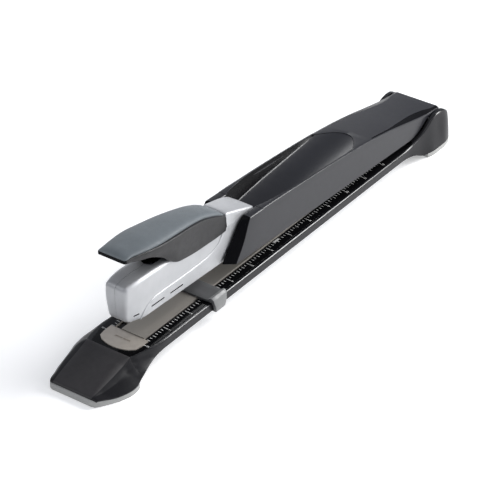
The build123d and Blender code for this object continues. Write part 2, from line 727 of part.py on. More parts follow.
HANDLE_COIL_R = 2.6
HANDLE_COIL_LENGTH = 4.4
HANDLE_WIRE_R = 0.35
with BuildPart() as handle_return_spring:
    with BuildLine():
        coil = Helix(
            pitch=1.1,
            height=HANDLE_COIL_LENGTH,
            radius=HANDLE_COIL_R,
            center=(-HANDLE_COIL_LENGTH / 2, STAPLE_Y + HANDLE_PIN_S, HANDLE_PIN_Z),
            direction=(1, 0, 0),
        )
    with BuildSketch(Plane(origin=coil @ 0, z_dir=coil % 0)):
        Circle(HANDLE_WIRE_R)
    sweep()
handle_return_spring.part.label = "handle_return_spring"
handle_return_spring.part.move(RAISED)
export_step(handle_return_spring.part, "parts/handle_return_spring.step")

# ===========================================================================================
# Striker and its lever: the handle rib pushes the lever's tail down, the nose end lifts
# ===========================================================================================
with BuildPart() as striker:
    with BuildSketch(across(-STRIKER_HALF, 0, 0)):
        Polygon(
            (STRIKER_S - STRIKER_T / 2, 20.8),
            (STRIKER_S + STRIKER_T / 2, 20.8),
            (STRIKER_S + STRIKER_T / 2, 41.2),
            (STRIKER_S - STRIKER_T / 2, 41.2),
            align=None,
        )
    extrude(amount=2 * STRIKER_HALF)
    with BuildSketch(Plane.XZ.offset(-(STAPLE_Y - 10))):
        with Locations((0, 38.2)):
            Rectangle(5, 3.2)
    extrude(amount=-20, mode=Mode.SUBTRACT)
striker.part.label = "striker"
striker.part.move(RAISED)
export_step(striker.part, "parts/striker.step")

with BuildPart() as drive_lever:
    with BuildSketch(Plane.YZ):
        Polygon(
            *side(
                (-3.3, 37.3),
                (-3.3, 39.1),
                (4, 40.8),
                (32, 43.2),
                (48, 43.6),
                (66, 45.4),
                (73, 45.4),
                (74, 43.4),
                (66, 41.6),
                (48, 36.6),
                (32, 36.4),
                (4, 37.0),
            ),
            align=None,
        )
        with Locations((STAPLE_Y + LEVER_PIN_S, LEVER_PIN_Z)):
            Circle(LEVER_PIN_R + 0.06, mode=Mode.SUBTRACT)
    extrude(amount=2.0, both=True)
drive_lever.part.label = "drive_lever"
drive_lever.part.move(RAISED)
export_step(drive_lever.part, "parts/drive_lever.step")

# ===========================================================================================
# Staple track: a drawer that slides to the rear under the arm, with its pusher
# ===========================================================================================
TRACK_TOP = 25.9
TRACK_T = 0.8
with BuildPart() as staple_track:
    with BuildSketch(Plane.XZ.offset(-(STAPLE_Y + MAGAZINE_START))):
        outer = TRACK_WALL_OUT
        wall_in = TRACK_WALL_OUT - TRACK_T
        floor = TRACK_BOTTOM + TRACK_T
        Polygon(
            (-outer, TRACK_BOTTOM),
            (outer, TRACK_BOTTOM),
            (outer, TRACK_TOP),
            (wall_in, TRACK_TOP),
            (wall_in, floor),
            (-wall_in, floor),
            (-wall_in, TRACK_TOP),
            (-outer, TRACK_TOP),
            align=None,
        )
    extrude(amount=-(TRACK_END - MAGAZINE_START))
    # bent-up front lip that carries the pusher rod
    with BuildSketch(across(-4.9, 0, 0)):
        Polygon((-2.6, 20.4), (-1.8, 20.4), (-1.8, 25.4), (-2.6, 25.4), align=None)
    extrude(amount=9.8)
    with BuildSketch(Plane.XZ.offset(-(STAPLE_Y - 5))):
        with Locations((0, ROD_Z)):
            Circle(ROD_R + 0.02)
    extrude(amount=-5, mode=Mode.SUBTRACT)
staple_track.part.label = "staple_track"
staple_track.part.move(RAISED)
export_step(staple_track.part, "parts/staple_track.step")

with BuildPart() as pusher_rod:
    with BuildSketch(Plane.XZ.offset(-(STAPLE_Y - 2.6))):
        with Locations((0, ROD_Z)):
            Circle(ROD_R)
    extrude(amount=-(TRACK_END + 2.6 + 0.2))
pusher_rod.part.label = "pusher_rod"
pusher_rod.part.move(RAISED)
export_step(pusher_rod.part, "parts/pusher_rod.step")

with BuildPart() as track_pull:
    with BuildSketch(Plane.YZ):
        Polygon(
            *side((TRACK_END + 0.2, TRACK_BOTTOM), (124, TRACK_BOTTOM), (126, 21.0)),
            *side((126, 25.0), (124, 26.6), (TRACK_END + 0.2, 26.6)),
            align=None,
        )
    extrude(amount=7.2, both=True)
    fillet(track_pull.edges().filter_by(Axis.Z), 1.2)
    # slot for the latch and its pin
    with BuildSketch(Plane.XY.offset(15)):
        with Locations((0, STAPLE_Y + 119.5)):
            Rectangle(6.6, 17)
    extrude(amount=20, mode=Mode.SUBTRACT)
    with BuildSketch(across(0, LATCH_S, LATCH_Z)):
        Circle(LATCH_PIN_R + 0.02)
    extrude(amount=5.6, both=True, mode=Mode.SUBTRACT)
track_pull.part.label = "track_pull"
track_pull.part.move(RAISED)
export_step(track_pull.part, "parts/track_pull.step")

with BuildPart() as latch_pin:
    with BuildSketch(across(0, LATCH_S, LATCH_Z)):
        Circle(LATCH_PIN_R)
    extrude(amount=5.4, both=True)
latch_pin.part.label = "latch_pin"
latch_pin.part.move(RAISED)
export_step(latch_pin.part, "parts/latch_pin.step")

with BuildPart() as track_latch:
    with BuildSketch(Plane.YZ):
        Polygon(
            *side(
                (112, 24.2),
                (112, 26.8),
                (113.6, 26.8),
                (114.6, 25.4),
                (120, 25.2),
                (127.2, 23.4),
                (127.2, 21.6),
                (119, 20.6),
                (113.4, 22.6),
            ),
            align=None,
        )
        with Locations((STAPLE_Y + LATCH_S, LATCH_Z)):
            Circle(LATCH_PIN_R + 0.06, mode=Mode.SUBTRACT)
    extrude(amount=3.0, both=True)
track_latch.part.label = "track_latch"
track_latch.part.move(RAISED)
export_step(track_latch.part, "parts/track_latch.step")

PUSHER_START = -0.9
PUSHER_LENGTH = 12.0
PUSHER_TOP = 26.9
PUSHER_BOTTOM = 21.0
with BuildPart() as pusher:
    # a sheet saddle over the track walls, with a guide block between them
    with BuildSketch(Plane.XZ.offset(-(STAPLE_Y + PUSHER_START))):
        saddle_in = TRACK_WALL_OUT + 0.12
        saddle_out = saddle_in + 0.33
        block = TRACK_WALL_OUT - TRACK_T - 0.3
        roof = TRACK_TOP + 0.2
        Polygon(
            (-saddle_out, PUSHER_BOTTOM),
            (-saddle_out, PUSHER_TOP),
            (saddle_out, PUSHER_TOP),
            (saddle_out, PUSHER_BOTTOM),
            (saddle_in, PUSHER_BOTTOM),
            (saddle_in, roof),
            (block, roof),
            (block, PUSHER_BOTTOM),
            (-block, PUSHER_BOTTOM),
            (-block, roof),
            (-saddle_in, roof),
            (-saddle_in, PUSHER_BOTTOM),
            align=None,
        )
        with Locations((0, ROD_Z)):
            Circle(ROD_R + 0.06, mode=Mode.SUBTRACT)
    extrude(amount=-PUSHER_LENGTH)
pusher.part.label = "pusher"
pusher.part.move(RAISED)
export_step(pusher.part, "parts/pusher.step")

with BuildPart() as pusher_spring:
    with BuildLine():
        coil = Helix(
            pitch=5.0,
            height=TRACK_END - PUSHER_LENGTH - 2.0,
            radius=1.9,
            center=(0, STAPLE_Y + PUSHER_START + PUSHER_LENGTH + 1.0, ROD_Z),
            direction=(0, 1, 0),
        )
    with BuildSketch(Plane(origin=coil @ 0, z_dir=coil % 0)):
        Circle(0.3)
    sweep()
pusher_spring.part.label = "pusher_spring"
pusher_spring.part.move(RAISED)
export_step(pusher_spring.part, "parts/pusher_spring.step")

# ===========================================================================================
# Handle: a hard shell with a soft grip moulded over its top
# ===========================================================================================
HANDLE_PLAN = (
    (10.8, -15.2),
    (12.9, -8.0),
    (14.6, 0.0),
    (16.2, 11.0),
    (16.8, 22.0),
    (16.5, 34.0),
    (15.6, 48.0),
    (14.4, 61.0),
    (13.4, 76.0),
    (13.1, 104.9),
)
# where the grip meets the shell, seen from the side
GRIP_LINE = (
    (-15.4, 76.2),
    (-6, 75.8),
    (11, 74.4),
    (32, 72.7),
    (53, 71.0),
    (75, 67.6),
    (90, 63.2),
    (104.8, 57.0),
)
GRIP_TOP = (
    (-15.4, 76.3),
    (-6, 78.4),
    (11, 78.0),
    (32, 76.2),
    (53, 74.0),
    (75, 70.2),
    (90, 65.8),
    (104.8, 57.6),
)
with BuildPart() as handle_body:
    with BuildSketch(Plane.YZ):
        with BuildLine():
            Spline(*side(*GRIP_LINE))
            Polyline(*side((104.8, 57.0), (104.4, 52), (103, 44.8), (60, 44.9), (46, 46.3)))
            Spline(*side((46, 46.3), (38, 50), (30, 57.5), (18, 65.2), (6, 70.2), (-15.2, 74.4)))
            Polyline(*side((-15.2, 74.4), (-15.4, 76.2)))
        make_face()
    extrude(amount=20, both=True)
    with BuildSketch(Plane.XY.offset(30)):
        Polygon(*plan(*HANDLE_PLAN), align=None)
    extrude(amount=60, mode=Mode.INTERSECT)
    # hollow below, so that it closes over the head
    with BuildSketch(Plane.YZ):
        Polygon(
            *side((14, 40), (14, 71.6), (32, 70.4), (53, 68.6), (75, 65.2), (90, 60.6)),
            *side((103.2, 55), (103.2, 53), (110, 53), (110, 40)),
            align=None,
        )
    extrude(amount=SKIRT_INNER, both=True, mode=Mode.SUBTRACT)
    # rib that works the lever
    with BuildSketch(Plane.YZ):
        Polygon(*side((64, 68.6), (69, 46.0), (72, 46.0), (78, 66.2)), align=None)
    extrude(amount=1.6, both=True)
    # ears on the pin, inside the skirts
    with BuildSketch(across(0, HANDLE_PIN_S, HANDLE_PIN_Z)):
        Circle(HANDLE_PIN_R + 0.05)
    extrude(amount=12.5, both=True, mode=Mode.SUBTRACT)
handle_body.part.label = "handle_body"
handle_body.part.move(RAISED)
export_step(handle_body.part, "parts/handle_body.step")

with BuildPart() as handle_grip:
    with BuildSketch(Plane.YZ):
        with BuildLine():
            Spline(*side(*GRIP_LINE))
            Polyline(*side(GRIP_LINE[-1], GRIP_TOP[-1]))
            Spline(*side(*reversed(GRIP_TOP)))
            Polyline(*side(GRIP_TOP[0], GRIP_LINE[0]))
        make_face()
    extrude(amount=20, both=True)
    with BuildSketch(Plane.XY.offset(30)):
        Polygon(*plan(*HANDLE_PLAN), align=None)
    extrude(amount=60, mode=Mode.INTERSECT)
handle_grip.part.label = "handle_grip"
handle_grip.part.move(RAISED)
export_step(handle_grip.part, "parts/handle_grip.step")
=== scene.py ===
import json
import math

import bmesh
import bpy
from mathutils import Matrix, Vector


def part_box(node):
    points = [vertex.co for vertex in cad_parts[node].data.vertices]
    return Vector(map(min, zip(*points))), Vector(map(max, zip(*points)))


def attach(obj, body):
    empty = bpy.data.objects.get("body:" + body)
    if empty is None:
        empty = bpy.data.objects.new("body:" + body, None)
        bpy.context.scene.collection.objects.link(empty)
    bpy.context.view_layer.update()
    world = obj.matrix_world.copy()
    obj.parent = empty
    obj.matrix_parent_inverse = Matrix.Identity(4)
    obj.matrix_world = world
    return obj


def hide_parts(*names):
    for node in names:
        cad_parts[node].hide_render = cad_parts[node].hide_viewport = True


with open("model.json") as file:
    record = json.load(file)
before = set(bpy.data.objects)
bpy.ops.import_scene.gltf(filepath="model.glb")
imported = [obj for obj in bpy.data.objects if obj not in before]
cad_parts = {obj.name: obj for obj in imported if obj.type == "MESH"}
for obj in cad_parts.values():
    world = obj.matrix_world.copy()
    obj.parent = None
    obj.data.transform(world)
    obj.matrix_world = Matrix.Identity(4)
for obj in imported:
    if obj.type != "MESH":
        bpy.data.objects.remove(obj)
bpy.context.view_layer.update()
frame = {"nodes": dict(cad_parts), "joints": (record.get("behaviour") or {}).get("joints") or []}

# Lengths are in millimetres in this script and turned into metres by place(). A point is
# (x, s, z): x to the right, s behind the staple line, z up. The arm, head and handle are drawn
# with the arm level and then swung up to the rest angle of the arm's hinge.
MM = 0.001
FOOT_REACH = 62.0  # the front foot's reach ahead of the staple line
STAPLE_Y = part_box("front_foot_pad")[0].y / MM + FOOT_REACH
HINGE = next(joint for joint in frame["joints"] if joint["name"] == "arm_hinge")
PIVOT_Y, PIVOT_Z = HINGE["pos_m"][1] / MM, HINGE["pos_m"][2] / MM
REST_TILT = math.radians(HINGE["range_deg"][1])

PAD_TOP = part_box("front_foot_pad")[1].z / MM
DECK_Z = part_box("ruler_panel")[1].z / MM
PANEL_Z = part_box("ruler_panel")[0].z / MM
RAIL_HALF = 24.8
RAIL_BOTTOM = 9.7
WELL_HALF = 22.4
WELL_FLOOR = 8.0
WELL_BACK = 391.0
BACK_WALL_Z = 24.0
HEAD_HALF = 11.3
HEAD_BOTTOM = 19.7
HEAD_TOP = 52.0
ARM_BOTTOM = 19.6
INCH = 25.4


# ---- helpers ----
def place(point, level=False):
    """A point in millimetres as a place in the frame, in metres."""
    x, s, z = point
    y = STAPLE_Y + s
    if level:
        dy, dz = y - PIVOT_Y, z - PIVOT_Z
        cos, sin = math.cos(REST_TILT), math.sin(REST_TILT)
        y = PIVOT_Y + dy * cos + dz * sin
        z = PIVOT_Z - dy * sin + dz * cos
    return Vector((x, y, z)) * MM


def curve_value(points, at):
    """A smooth value through (position, value) points: monotone cubic, flat beyond the ends."""
    if at <= points[0][0]:
        return points[0][1]
    if at >= points[-1][0]:
        return points[-1][1]
    spans = [(b[1] - a[1]) / (b[0] - a[0]) for a, b in zip(points, points[1:])]
    slopes = [spans[0]]
    for before, after in zip(spans, spans[1:]):
        slopes.append(0.0 if before * after <= 0 else 2 * before * after / (before + after))
    slopes.append(spans[-1])
    i = next(i for i, point in enumerate(points[1:]) if at <= point[0])
    a, b = points[i], points[i + 1]
    width = b[0] - a[0]
    t = (at - a[0]) / width
    return (
        a[1] * (1 + 2 * t) * (1 - t) ** 2
        + slopes[i] * width * t * (1 - t) ** 2
        + b[1] * t * t * (3 - 2 * t)
        + slopes[i + 1] * width * t * t * (t - 1)
    )


def ease(low, high, at):
    """0 before low, 1 after high, smooth between."""
    t = min(1.0, max(0.0, (at - low) / (high - low)))
    return t * t * (3 - 2 * t)


def mix(a, b, t):
    return a + (b - a) * t


def steps(start, end, count):
    """count + 1 evenly spaced numbers from start to end."""
    return [start + (end - start) * i / count for i in range(count + 1)]


def mirrored(half, left=None):
    """A whole profile of (x, z) from its right half, which starts in the middle, and its left."""
    return [(-x, z) for x, z in reversed(left or half)] + list(half[1:])


def filleted(points, radii, segments=4):
    """A profile with rounded corners. radii holds a radius by corner number."""
    rounded = []
    for i, point in enumerate(points):
        if i not in radii:
            rounded.append(tuple(point))
            continue
        corner = Vector(point)
        before, after = Vector(points[i - 1]) - corner, Vector(points[i + 1]) - corner
        reach = 0.0
        if min(before.length, after.length) > 1e-4:
            half_angle = max(0.05, before.angle(after) / 2)
            reach = min(radii[i] / math.tan(half_angle), before.length * 0.48, after.length * 0.48)
            before.normalize()
            after.normalize()
        rounded += bent(corner + before * reach, corner, corner + after * reach, segments)
    return rounded


def bent(start, control, end, count):
    """count + 1 points of a bend from start to end that leans towards the control point."""
    start, control, end = Vector(start), Vector(control), Vector(end)
    spots = [start * (1 - t) ** 2 + control * 2 * t * (1 - t) + end * t * t for t in steps(0, 1, count)]
    return [(spot.x, spot.y) for spot in spots]


MERGE = 0.002  # points nearer than this, in millimetres, are one
SMOOTH_BELOW = 32  # faces that meet at a smaller angle, in degrees, are shaded as one surface


class Skin:
    """A mesh under construction: grids of points, with chosen edges rounded by a bevel."""

    def __init__(self, level=False):
        self.bm = bmesh.new()
        self.level = level
        self.weight = self.bm.edges.layers.float.new("bevel_weight_edge")

    def rows(self, points):
        return [[self.bm.verts.new(place(p, self.level)) for p in row] for row in points]

    def quad(self, corners, material=0):
        corners = [c for i, c in enumerate(corners) if c not in corners[:i]]
        if len(corners) < 3:
            return
        try:
            face = self.bm.faces.new(corners)
        except ValueError:
            return
        face.smooth = True
        face.material_index = material

    def grid(self, rows, flip=False, wrap=False, paint=None):
        """Quads between rows of vertices. paint gives a material number from (row, column)."""
        for i, (a, b) in enumerate(zip(rows, rows[1:])):
            for k in range(len(a) if wrap else len(a) - 1):
                n = (k + 1) % len(a)
                corners = [a[k], a[n], b[n], b[k]]
                self.quad(corners[::-1] if flip else corners, paint(i, k) if paint else 0)

    def strip(self, a, b, material=0):
        self.grid([a, b], paint=lambda i, k: material)

    def shell(self, outer, inside, paint=None, front=0, back=0, edges=0):
        """A hollow moulding between rows of points. The numbers are the rims' materials."""
        outer, inside = self.rows(outer), self.rows(inside)
        self.grid(outer, paint=paint)
        self.grid(inside, flip=True)
        self.strip(outer[0], inside[0], front)
        self.strip(outer[-1], inside[-1], back)
        for k in (0, -1):
            self.strip([row[k] for row in outer], [row[k] for row in inside], edges)

    def round_line(self, line):
        """Marks the edges along a line of vertices for the bevel."""
        for a, b in zip(line, line[1:]):
            edge = self.bm.edges.get((a, b)) if a is not b else None
            if edge:
                edge[self.weight] = 1.0

    def finish(self, name, body, materials, bevel=0.0, solid=0.0):
        """The finished object. bevel is the marked edges' radius, solid a shell's thickness."""
        bmesh.ops.remove_doubles(self.bm, verts=self.bm.verts, dist=MERGE * MM)
        bmesh.ops.recalc_face_normals(self.bm, faces=self.bm.faces)
        mesh = bpy.data.meshes.new(name)
        self.bm.to_mesh(mesh)
        self.bm.free()
        piece = added(name, mesh)
        for material in materials:
            mesh.materials.append(material)
        if bevel:
            rounding = piece.modifiers.new("rounding", "BEVEL")
            rounding.limit_method = "WEIGHT"
            rounding.width = bevel * MM
            rounding.segments = 3
            rounding.use_clamp_overlap = True
            rounding.harden_normals = False
        if solid:
            wall = piece.modifiers.new("wall", "SOLIDIFY")
            wall.thickness = solid * MM
            wall.offset = -1
            wall.material_offset = len(materials) - 1
            wall.material_offset_rim = len(materials) - 1
        if piece.modifiers:
            bake(piece)
        smooth_by_angle(piece, math.radians(SMOOTH_BELOW))
        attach(piece, body)
        return piece


def added(name, data):
    """A new object in the scene."""
    made = bpy.data.objects.new(name, data)
    bpy.context.scene.collection.objects.link(made)
    return made


def shown_mesh(piece):
    """A copy of the piece's mesh with its modifiers applied, or of a text as a mesh."""
    return bpy.data.meshes.new_from_object(piece.evaluated_get(bpy.context.evaluated_depsgraph_get()))


def bake(piece):
    """Turns the piece's modifiers into mesh."""
    mesh = shown_mesh(piece)
    mesh.name = piece.name
    piece.modifiers.clear()
    piece.data = mesh


def smooth_by_angle(piece, angle):
    """Marks the sharp edges, so that flat faces stay flat and rounded ones stay smooth."""
    bm = bmesh.new()
    bm.from_mesh(piece.data)
    for edge in bm.edges:
        if len(edge.link_faces) == 2 and edge.calc_face_angle(0.0) > angle:
            edge.smooth = False
    for face in bm.faces:
        face.smooth = True
    bm.to_mesh(piece.data)
    bm.free()


# ---- materials ----
GRAIN_DEPTH = 0.06  # in millimetres
NOISE_RANGE = (0.3, 0.7)  # the part of the noise that a drift is spread over
WORN_POINTINESS = (0.52, 0.62)  # where an edge begins to wear, and where it is fully worn


def finish_of(
    name, colour, rough, metallic=0.0, grain=0.0, grain_mm=0.4, mottle=0.0, mottle_mm=18.0,
    rough_spread=0.06, wear=0.0, stretch=(1, 1, 1), specular=0.5, sheen=0.0,
):
    """A surface with fine grain, slow colour drift, uneven roughness and lighter worn edges."""
    material = bpy.data.materials.new(name)
    material.use_nodes = True
    nodes, links = material.node_tree.nodes, material.node_tree.links
    shader = nodes["Principled BSDF"]
    shader.inputs["Metallic"].default_value = metallic
    shader.inputs["Specular IOR Level"].default_value = specular
    shader.inputs["Sheen Weight"].default_value = sheen
    place_node = nodes.new("ShaderNodeTexCoord")
    scaled = nodes.new("ShaderNodeMapping")
    scaled.inputs["Scale"].default_value = stretch
    links.new(place_node.outputs["Object"], scaled.inputs["Vector"])

    def noise(size_mm, detail):
        texture = nodes.new("ShaderNodeTexNoise")
        texture.inputs["Scale"].default_value = 1 / (size_mm * MM)
        texture.inputs["Detail"].default_value = detail
        links.new(scaled.outputs["Vector"], texture.inputs["Vector"])
        return texture.outputs["Fac"]

    def remapped(value, before, after):
        spread = nodes.new("ShaderNodeMapRange")
        spread.inputs["From Min"].default_value, spread.inputs["From Max"].default_value = before
        spread.inputs["To Min"].default_value, spread.inputs["To Max"].default_value = after
        links.new(value, spread.inputs["Value"])
        return spread.outputs["Result"]

    slow, fine = noise(mottle_mm, 3.0), noise(grain_mm, 2.0)
    tone = nodes.new("ShaderNodeValToRGB")
    darker = [c * (1 - mottle) for c in colour]
    lighter = [min(1.0, c * (1 + mottle)) for c in colour]
    for stop, position, shade in zip(tone.color_ramp.elements, NOISE_RANGE, (darker, lighter)):
        stop.position = position
        stop.color = (*shade, 1)
    links.new(slow, tone.inputs["Fac"])
    colour_out = tone.outputs["Color"]
    if wear:
        geometry = nodes.new("ShaderNodeNewGeometry")
        edge = remapped(geometry.outputs["Pointiness"], WORN_POINTINESS, (0.0, wear))
        worn = nodes.new("ShaderNodeMix")
        worn.data_type = "RGBA"
        worn.inputs["B"].default_value = (*[min(1.0, c * 2.2 + 0.02) for c in colour], 1)
        links.new(edge, worn.inputs["Factor"])
        links.new(colour_out, worn.inputs["A"])
        colour_out = worn.outputs["Result"]
    links.new(colour_out, shader.inputs["Base Color"])
    spread = (max(0.02, rough - rough_spread), rough + rough_spread)
    links.new(remapped(noise(mottle_mm / 4, 4.0), NOISE_RANGE, spread), shader.inputs["Roughness"])
    if grain:
        bump = nodes.new("ShaderNodeBump")
        bump.inputs["Strength"].default_value = grain
        bump.inputs["Distance"].default_value = GRAIN_DEPTH * MM
        links.new(fine, bump.inputs["Height"])
        links.new(bump.outputs["Normal"], shader.inputs["Normal"])
    return material


charcoal = finish_of(
    "charcoal_moulding", (0.009, 0.0088, 0.0103), 0.32, grain=0.25, mottle=0.06, rough_spread=0.02,
    specular=0.23,
)
ramp_texture = finish_of(
    "ramp_texture", (0.022, 0.020, 0.021), 0.45, grain=1.0, grain_mm=0.55, mottle=0.12, mottle_mm=4
)
deck_gloss = finish_of(
    "deck_gloss", (0.003, 0.003, 0.0035), 0.10, grain=0.04, grain_mm=3.0, mottle=0.1,
    rough_spread=0.03, specular=0.16,
)
rim_gloss = finish_of(
    "rim_gloss", (0.006, 0.006, 0.007), 0.2, grain=0.05, grain_mm=2.0, mottle=0.1, rough_spread=0.04
)
arm_satin = finish_of(
    "arm_satin", (0.013, 0.0132, 0.0165), 0.31, grain=0.10, mottle=0.06, rough_spread=0.03, specular=0.38
)
# a darker, less reflective copy of the arm's finish: painted shade on the trough's wall, the side leaf, the
# prongs' fronts and the handle's tip
arm_gloss_painted_shade = finish_of("arm_gloss_painted_shade", (0.005, 0.005, 0.006), 0.22, grain=0.05, mottle=0.1, specular=0.06)
silver = finish_of(
    "silver_lacquer", (0.46, 0.465, 0.475), 0.44, metallic=0.45, grain=0.6, grain_mm=0.35,
    mottle=0.04, mottle_mm=9,
)
handle_dark = finish_of(
    "handle_shell", (0.015, 0.0145, 0.0155), 0.36, grain=0.25, mottle=0.06, wear=0.2, specular=0.27
)
grip_soft = finish_of(
    "soft_grip", (0.096, 0.113, 0.124), 0.58, grain=0.9, grain_mm=0.32, mottle=0.07, mottle_mm=7, sheen=0.1
)
# the bar is a darker copy of the guide's nylon: painted shade on the bar; the lobes keep the nylon's own
# grey
guide_top_painted_shade = finish_of("guide_nylon_painted_shade_top", (0.075, 0.076, 0.078), 0.42, grain=0.3, mottle=0.05)
guide_grey = finish_of("guide_nylon", (0.17, 0.172, 0.17), 0.38, grain=0.3, grain_mm=0.5, mottle=0.05)
pad_rubber = finish_of("foot_rubber", (0.33, 0.33, 0.32), 0.62, grain=0.6, grain_mm=0.6, mottle=0.06)
nickel = finish_of(
    "nickel_steel", (0.31, 0.288, 0.258), 0.42, metallic=0.45, grain=0.10, grain_mm=0.6,
    mottle=0.05, mottle_mm=12, stretch=(1, 0.12, 1),
)
anvil_steel = finish_of(
    "anvil_steel", (0.50, 0.455, 0.40), 0.34, metallic=0.5, grain=0.10, grain_mm=0.6,
    mottle=0.06, mottle_mm=6,
)
zinc = finish_of("zinc_steel", (0.46, 0.47, 0.49), 0.38, metallic=1.0, grain=0.3, mottle=0.12, mottle_mm=5)
spring = finish_of("spring_steel", (0.30, 0.29, 0.28), 0.30, metallic=1.0, grain=0.2, mottle=0.1)
bronze = finish_of("bronze", (0.42, 0.28, 0.12), 0.40, metallic=1.0, grain=0.3, mottle=0.12)
# black nylon for the small black parts; the head's inside also takes it, as painted shade
black_nylon_and_inner_shade = finish_of("black_nylon_and_inner_shade", (0.015, 0.015, 0.016), 0.42, grain=0.3, mottle=0.08)
print_white = finish_of("print_white", (0.72, 0.72, 0.70), 0.55, grain=0.2, mottle=0.05, mottle_mm=3)

NODE_MATERIALS = (
    (nickel, ("deck_plate",)),
    (anvil_steel, ("anvil_plate",)),
    (zinc, ("base_stiffener", "arm_frame", "head_frame", "magazine_channel", "nose_guide")),
    (zinc, ("staple_track", "drive_lever", "spring_anchor", "pusher_rod", "pusher")),
    (zinc, ("base_screws", "arm_screws", "head_screws", "frame_rivets", "arm_pivot_shaft")),
    (zinc, ("handle_pin", "lever_pin", "latch_pin")),
    (spring, ("striker", "lift_spring", "power_spring", "handle_return_spring", "pusher_spring")),
    (bronze, ("pivot_bushes",)),
    (black_nylon_and_inner_shade, ("hinge_spacers", "track_pull", "track_latch")),
)
for material, nodes in NODE_MATERIALS:
    for node in nodes:
        mesh = frame["nodes"][node].data
        mesh.materials.clear()
        mesh.materials.append(material)
PLATE_ROUND = 0.18
SHARP_FROM = 50  # degrees
# the pressed plates that show have softened edges
for node in ("deck_plate", "anvil_plate"):
    softened = frame["nodes"][node].modifiers.new("softened_edges", "BEVEL")
    softened.width = PLATE_ROUND * MM
    softened.segments = 2
    softened.limit_method = "ANGLE"
    softened.angle_limit = math.radians(SHARP_FROM)

# ---- base: one long moulding with a ramp foot in front and a housing behind ----
# Half-widths along the stapler. The front foot spreads further back on the left.
FOOT_RIGHT = (
    (-62.0, 17.6), (-61.2, 20.4), (-58.5, 22.8), (-52.1, 26.6), (-45.5, 30.2), (-37.3, 32.7),
    (-32.5, 33.3), (-27.9, 32.8), (-22.0, 30.6), (-14.0, 28.5), (-4.0, 26.2), (6.0, 25.0),
    (14.0, RAIL_HALF),
)
FOOT_LEFT = (
    (-62.0, 17.6), (-61.0, 19.6), (-57.8, 21.6), (-50.0, 24.6), (-43.9, 26.7), (-38.9, 28.0),
    (-33.8, 29.2), (-28.7, 30.5), (-23.6, 31.8), (-18.5, 33.0), (-12.0, 32.6), (-4.0, 30.0),
    (6.0, 26.6), (18.0, RAIL_HALF),
)
REAR_SIDE = (
    (326.0, RAIL_HALF), (336.0, 25.4), (348.0, 27.4), (358.0, 29.9), (367.0, 31.5), (380.0, 31.5),
    (388.0, 30.1), (396.0, 25.6), (402.0, 18.5),
)
BASE_BOTTOM = (
    (-62, 5.0), (-58, 5.0), (-50, 4.0), (-24, 4.0), (-18, 4.7), (-8, 6.6), (0, 8.2), (6, 9.2),
    (14, RAIL_BOTTOM), (330, RAIL_BOTTOM), (338, 9.0), (344, 7.8), (350, 5.2), (354, 4.0),
    (402, 4.0),
)
# the top outer edge of the moulding: half-widths and height along the stapler
EDGE_RIGHT = (
    (-62.0, 16.6), (-40.0, 17.0), (-17.6, 17.9), (-13.5, 19.8), (-8.8, 20.8), (-4.3, 21.8),
    (0.0, 22.9), (6.0, 24.0), (14.0, RAIL_HALF),
)
EDGE_LEFT = (
    (-62.0, 17.2), (-50.0, 18.2), (-30.0, 19.0), (-17.6, 20.6), (-13.5, 22.0), (-8.8, 23.4),
    (-4.3, 24.5), (0.0, 25.1), (6.0, 25.4), (13.0, 24.9), (26.0, RAIL_HALF),
)
EDGE_REAR = (
    (330.0, RAIL_HALF), (350.0, 25.0), (361.0, 25.4), (376.0, 25.9), (386.0, 26.2), (391.0, 25.9),
    (395.0, 24.0), (399.0, 20.8), (402.0, 17.0),
)
BASE_EDGE_Z = (
    (-62.0, 5.9), (-58.0, 6.7), (-24.0, 15.2), (-17.3, DECK_Z), (330.0, DECK_Z), (340.0, 17.4),
    (348.0, 19.1), (355.0, 21.3), (361.0, 24.1), (366.0, 27.4), (370.0, 29.8), (375.0, 31.3),
    (381.0, 31.8), (386.0, 31.0), (390.0, 29.0), (394.0, 25.4), (397.5, 20.8), (400.0, 16.3),
    (402.0, 12.0),
)
PANEL_EDGE_HALF = (
    (-17.2, 16.6), (-16.4, 17.3), (-13.5, 18.5), (-8.8, 19.7), (-4.3, 20.8), (0.0, 21.6),
    (8.0, 22.2),
)
RAMP_END = -17.3
PANEL_END = 345.0
WELL_FRONT = 352.0
REAR_END = 402.0
FLANK_STEPS = 9
ROUND_STEPS = 5
BASE_WALL = 2.3
RAIL_ROUND, RAMP_ROUND = 1.4, 4.6  # the shoulder's rounding on the rail, and what the ramp adds
HOLLOW_RIGHT, HOLLOW_LEFT = 0.75, -0.55  # how hollow the front foot's flanks are; minus bulges
HOLLOW_REAR, BULGE_BACK = 0.35, 0.85  # the same for the housing, and for its rounded back
FRONT_DROOP = 0.9  # how far the ramp's front edge rolls down
SIDE_STEPS = 5


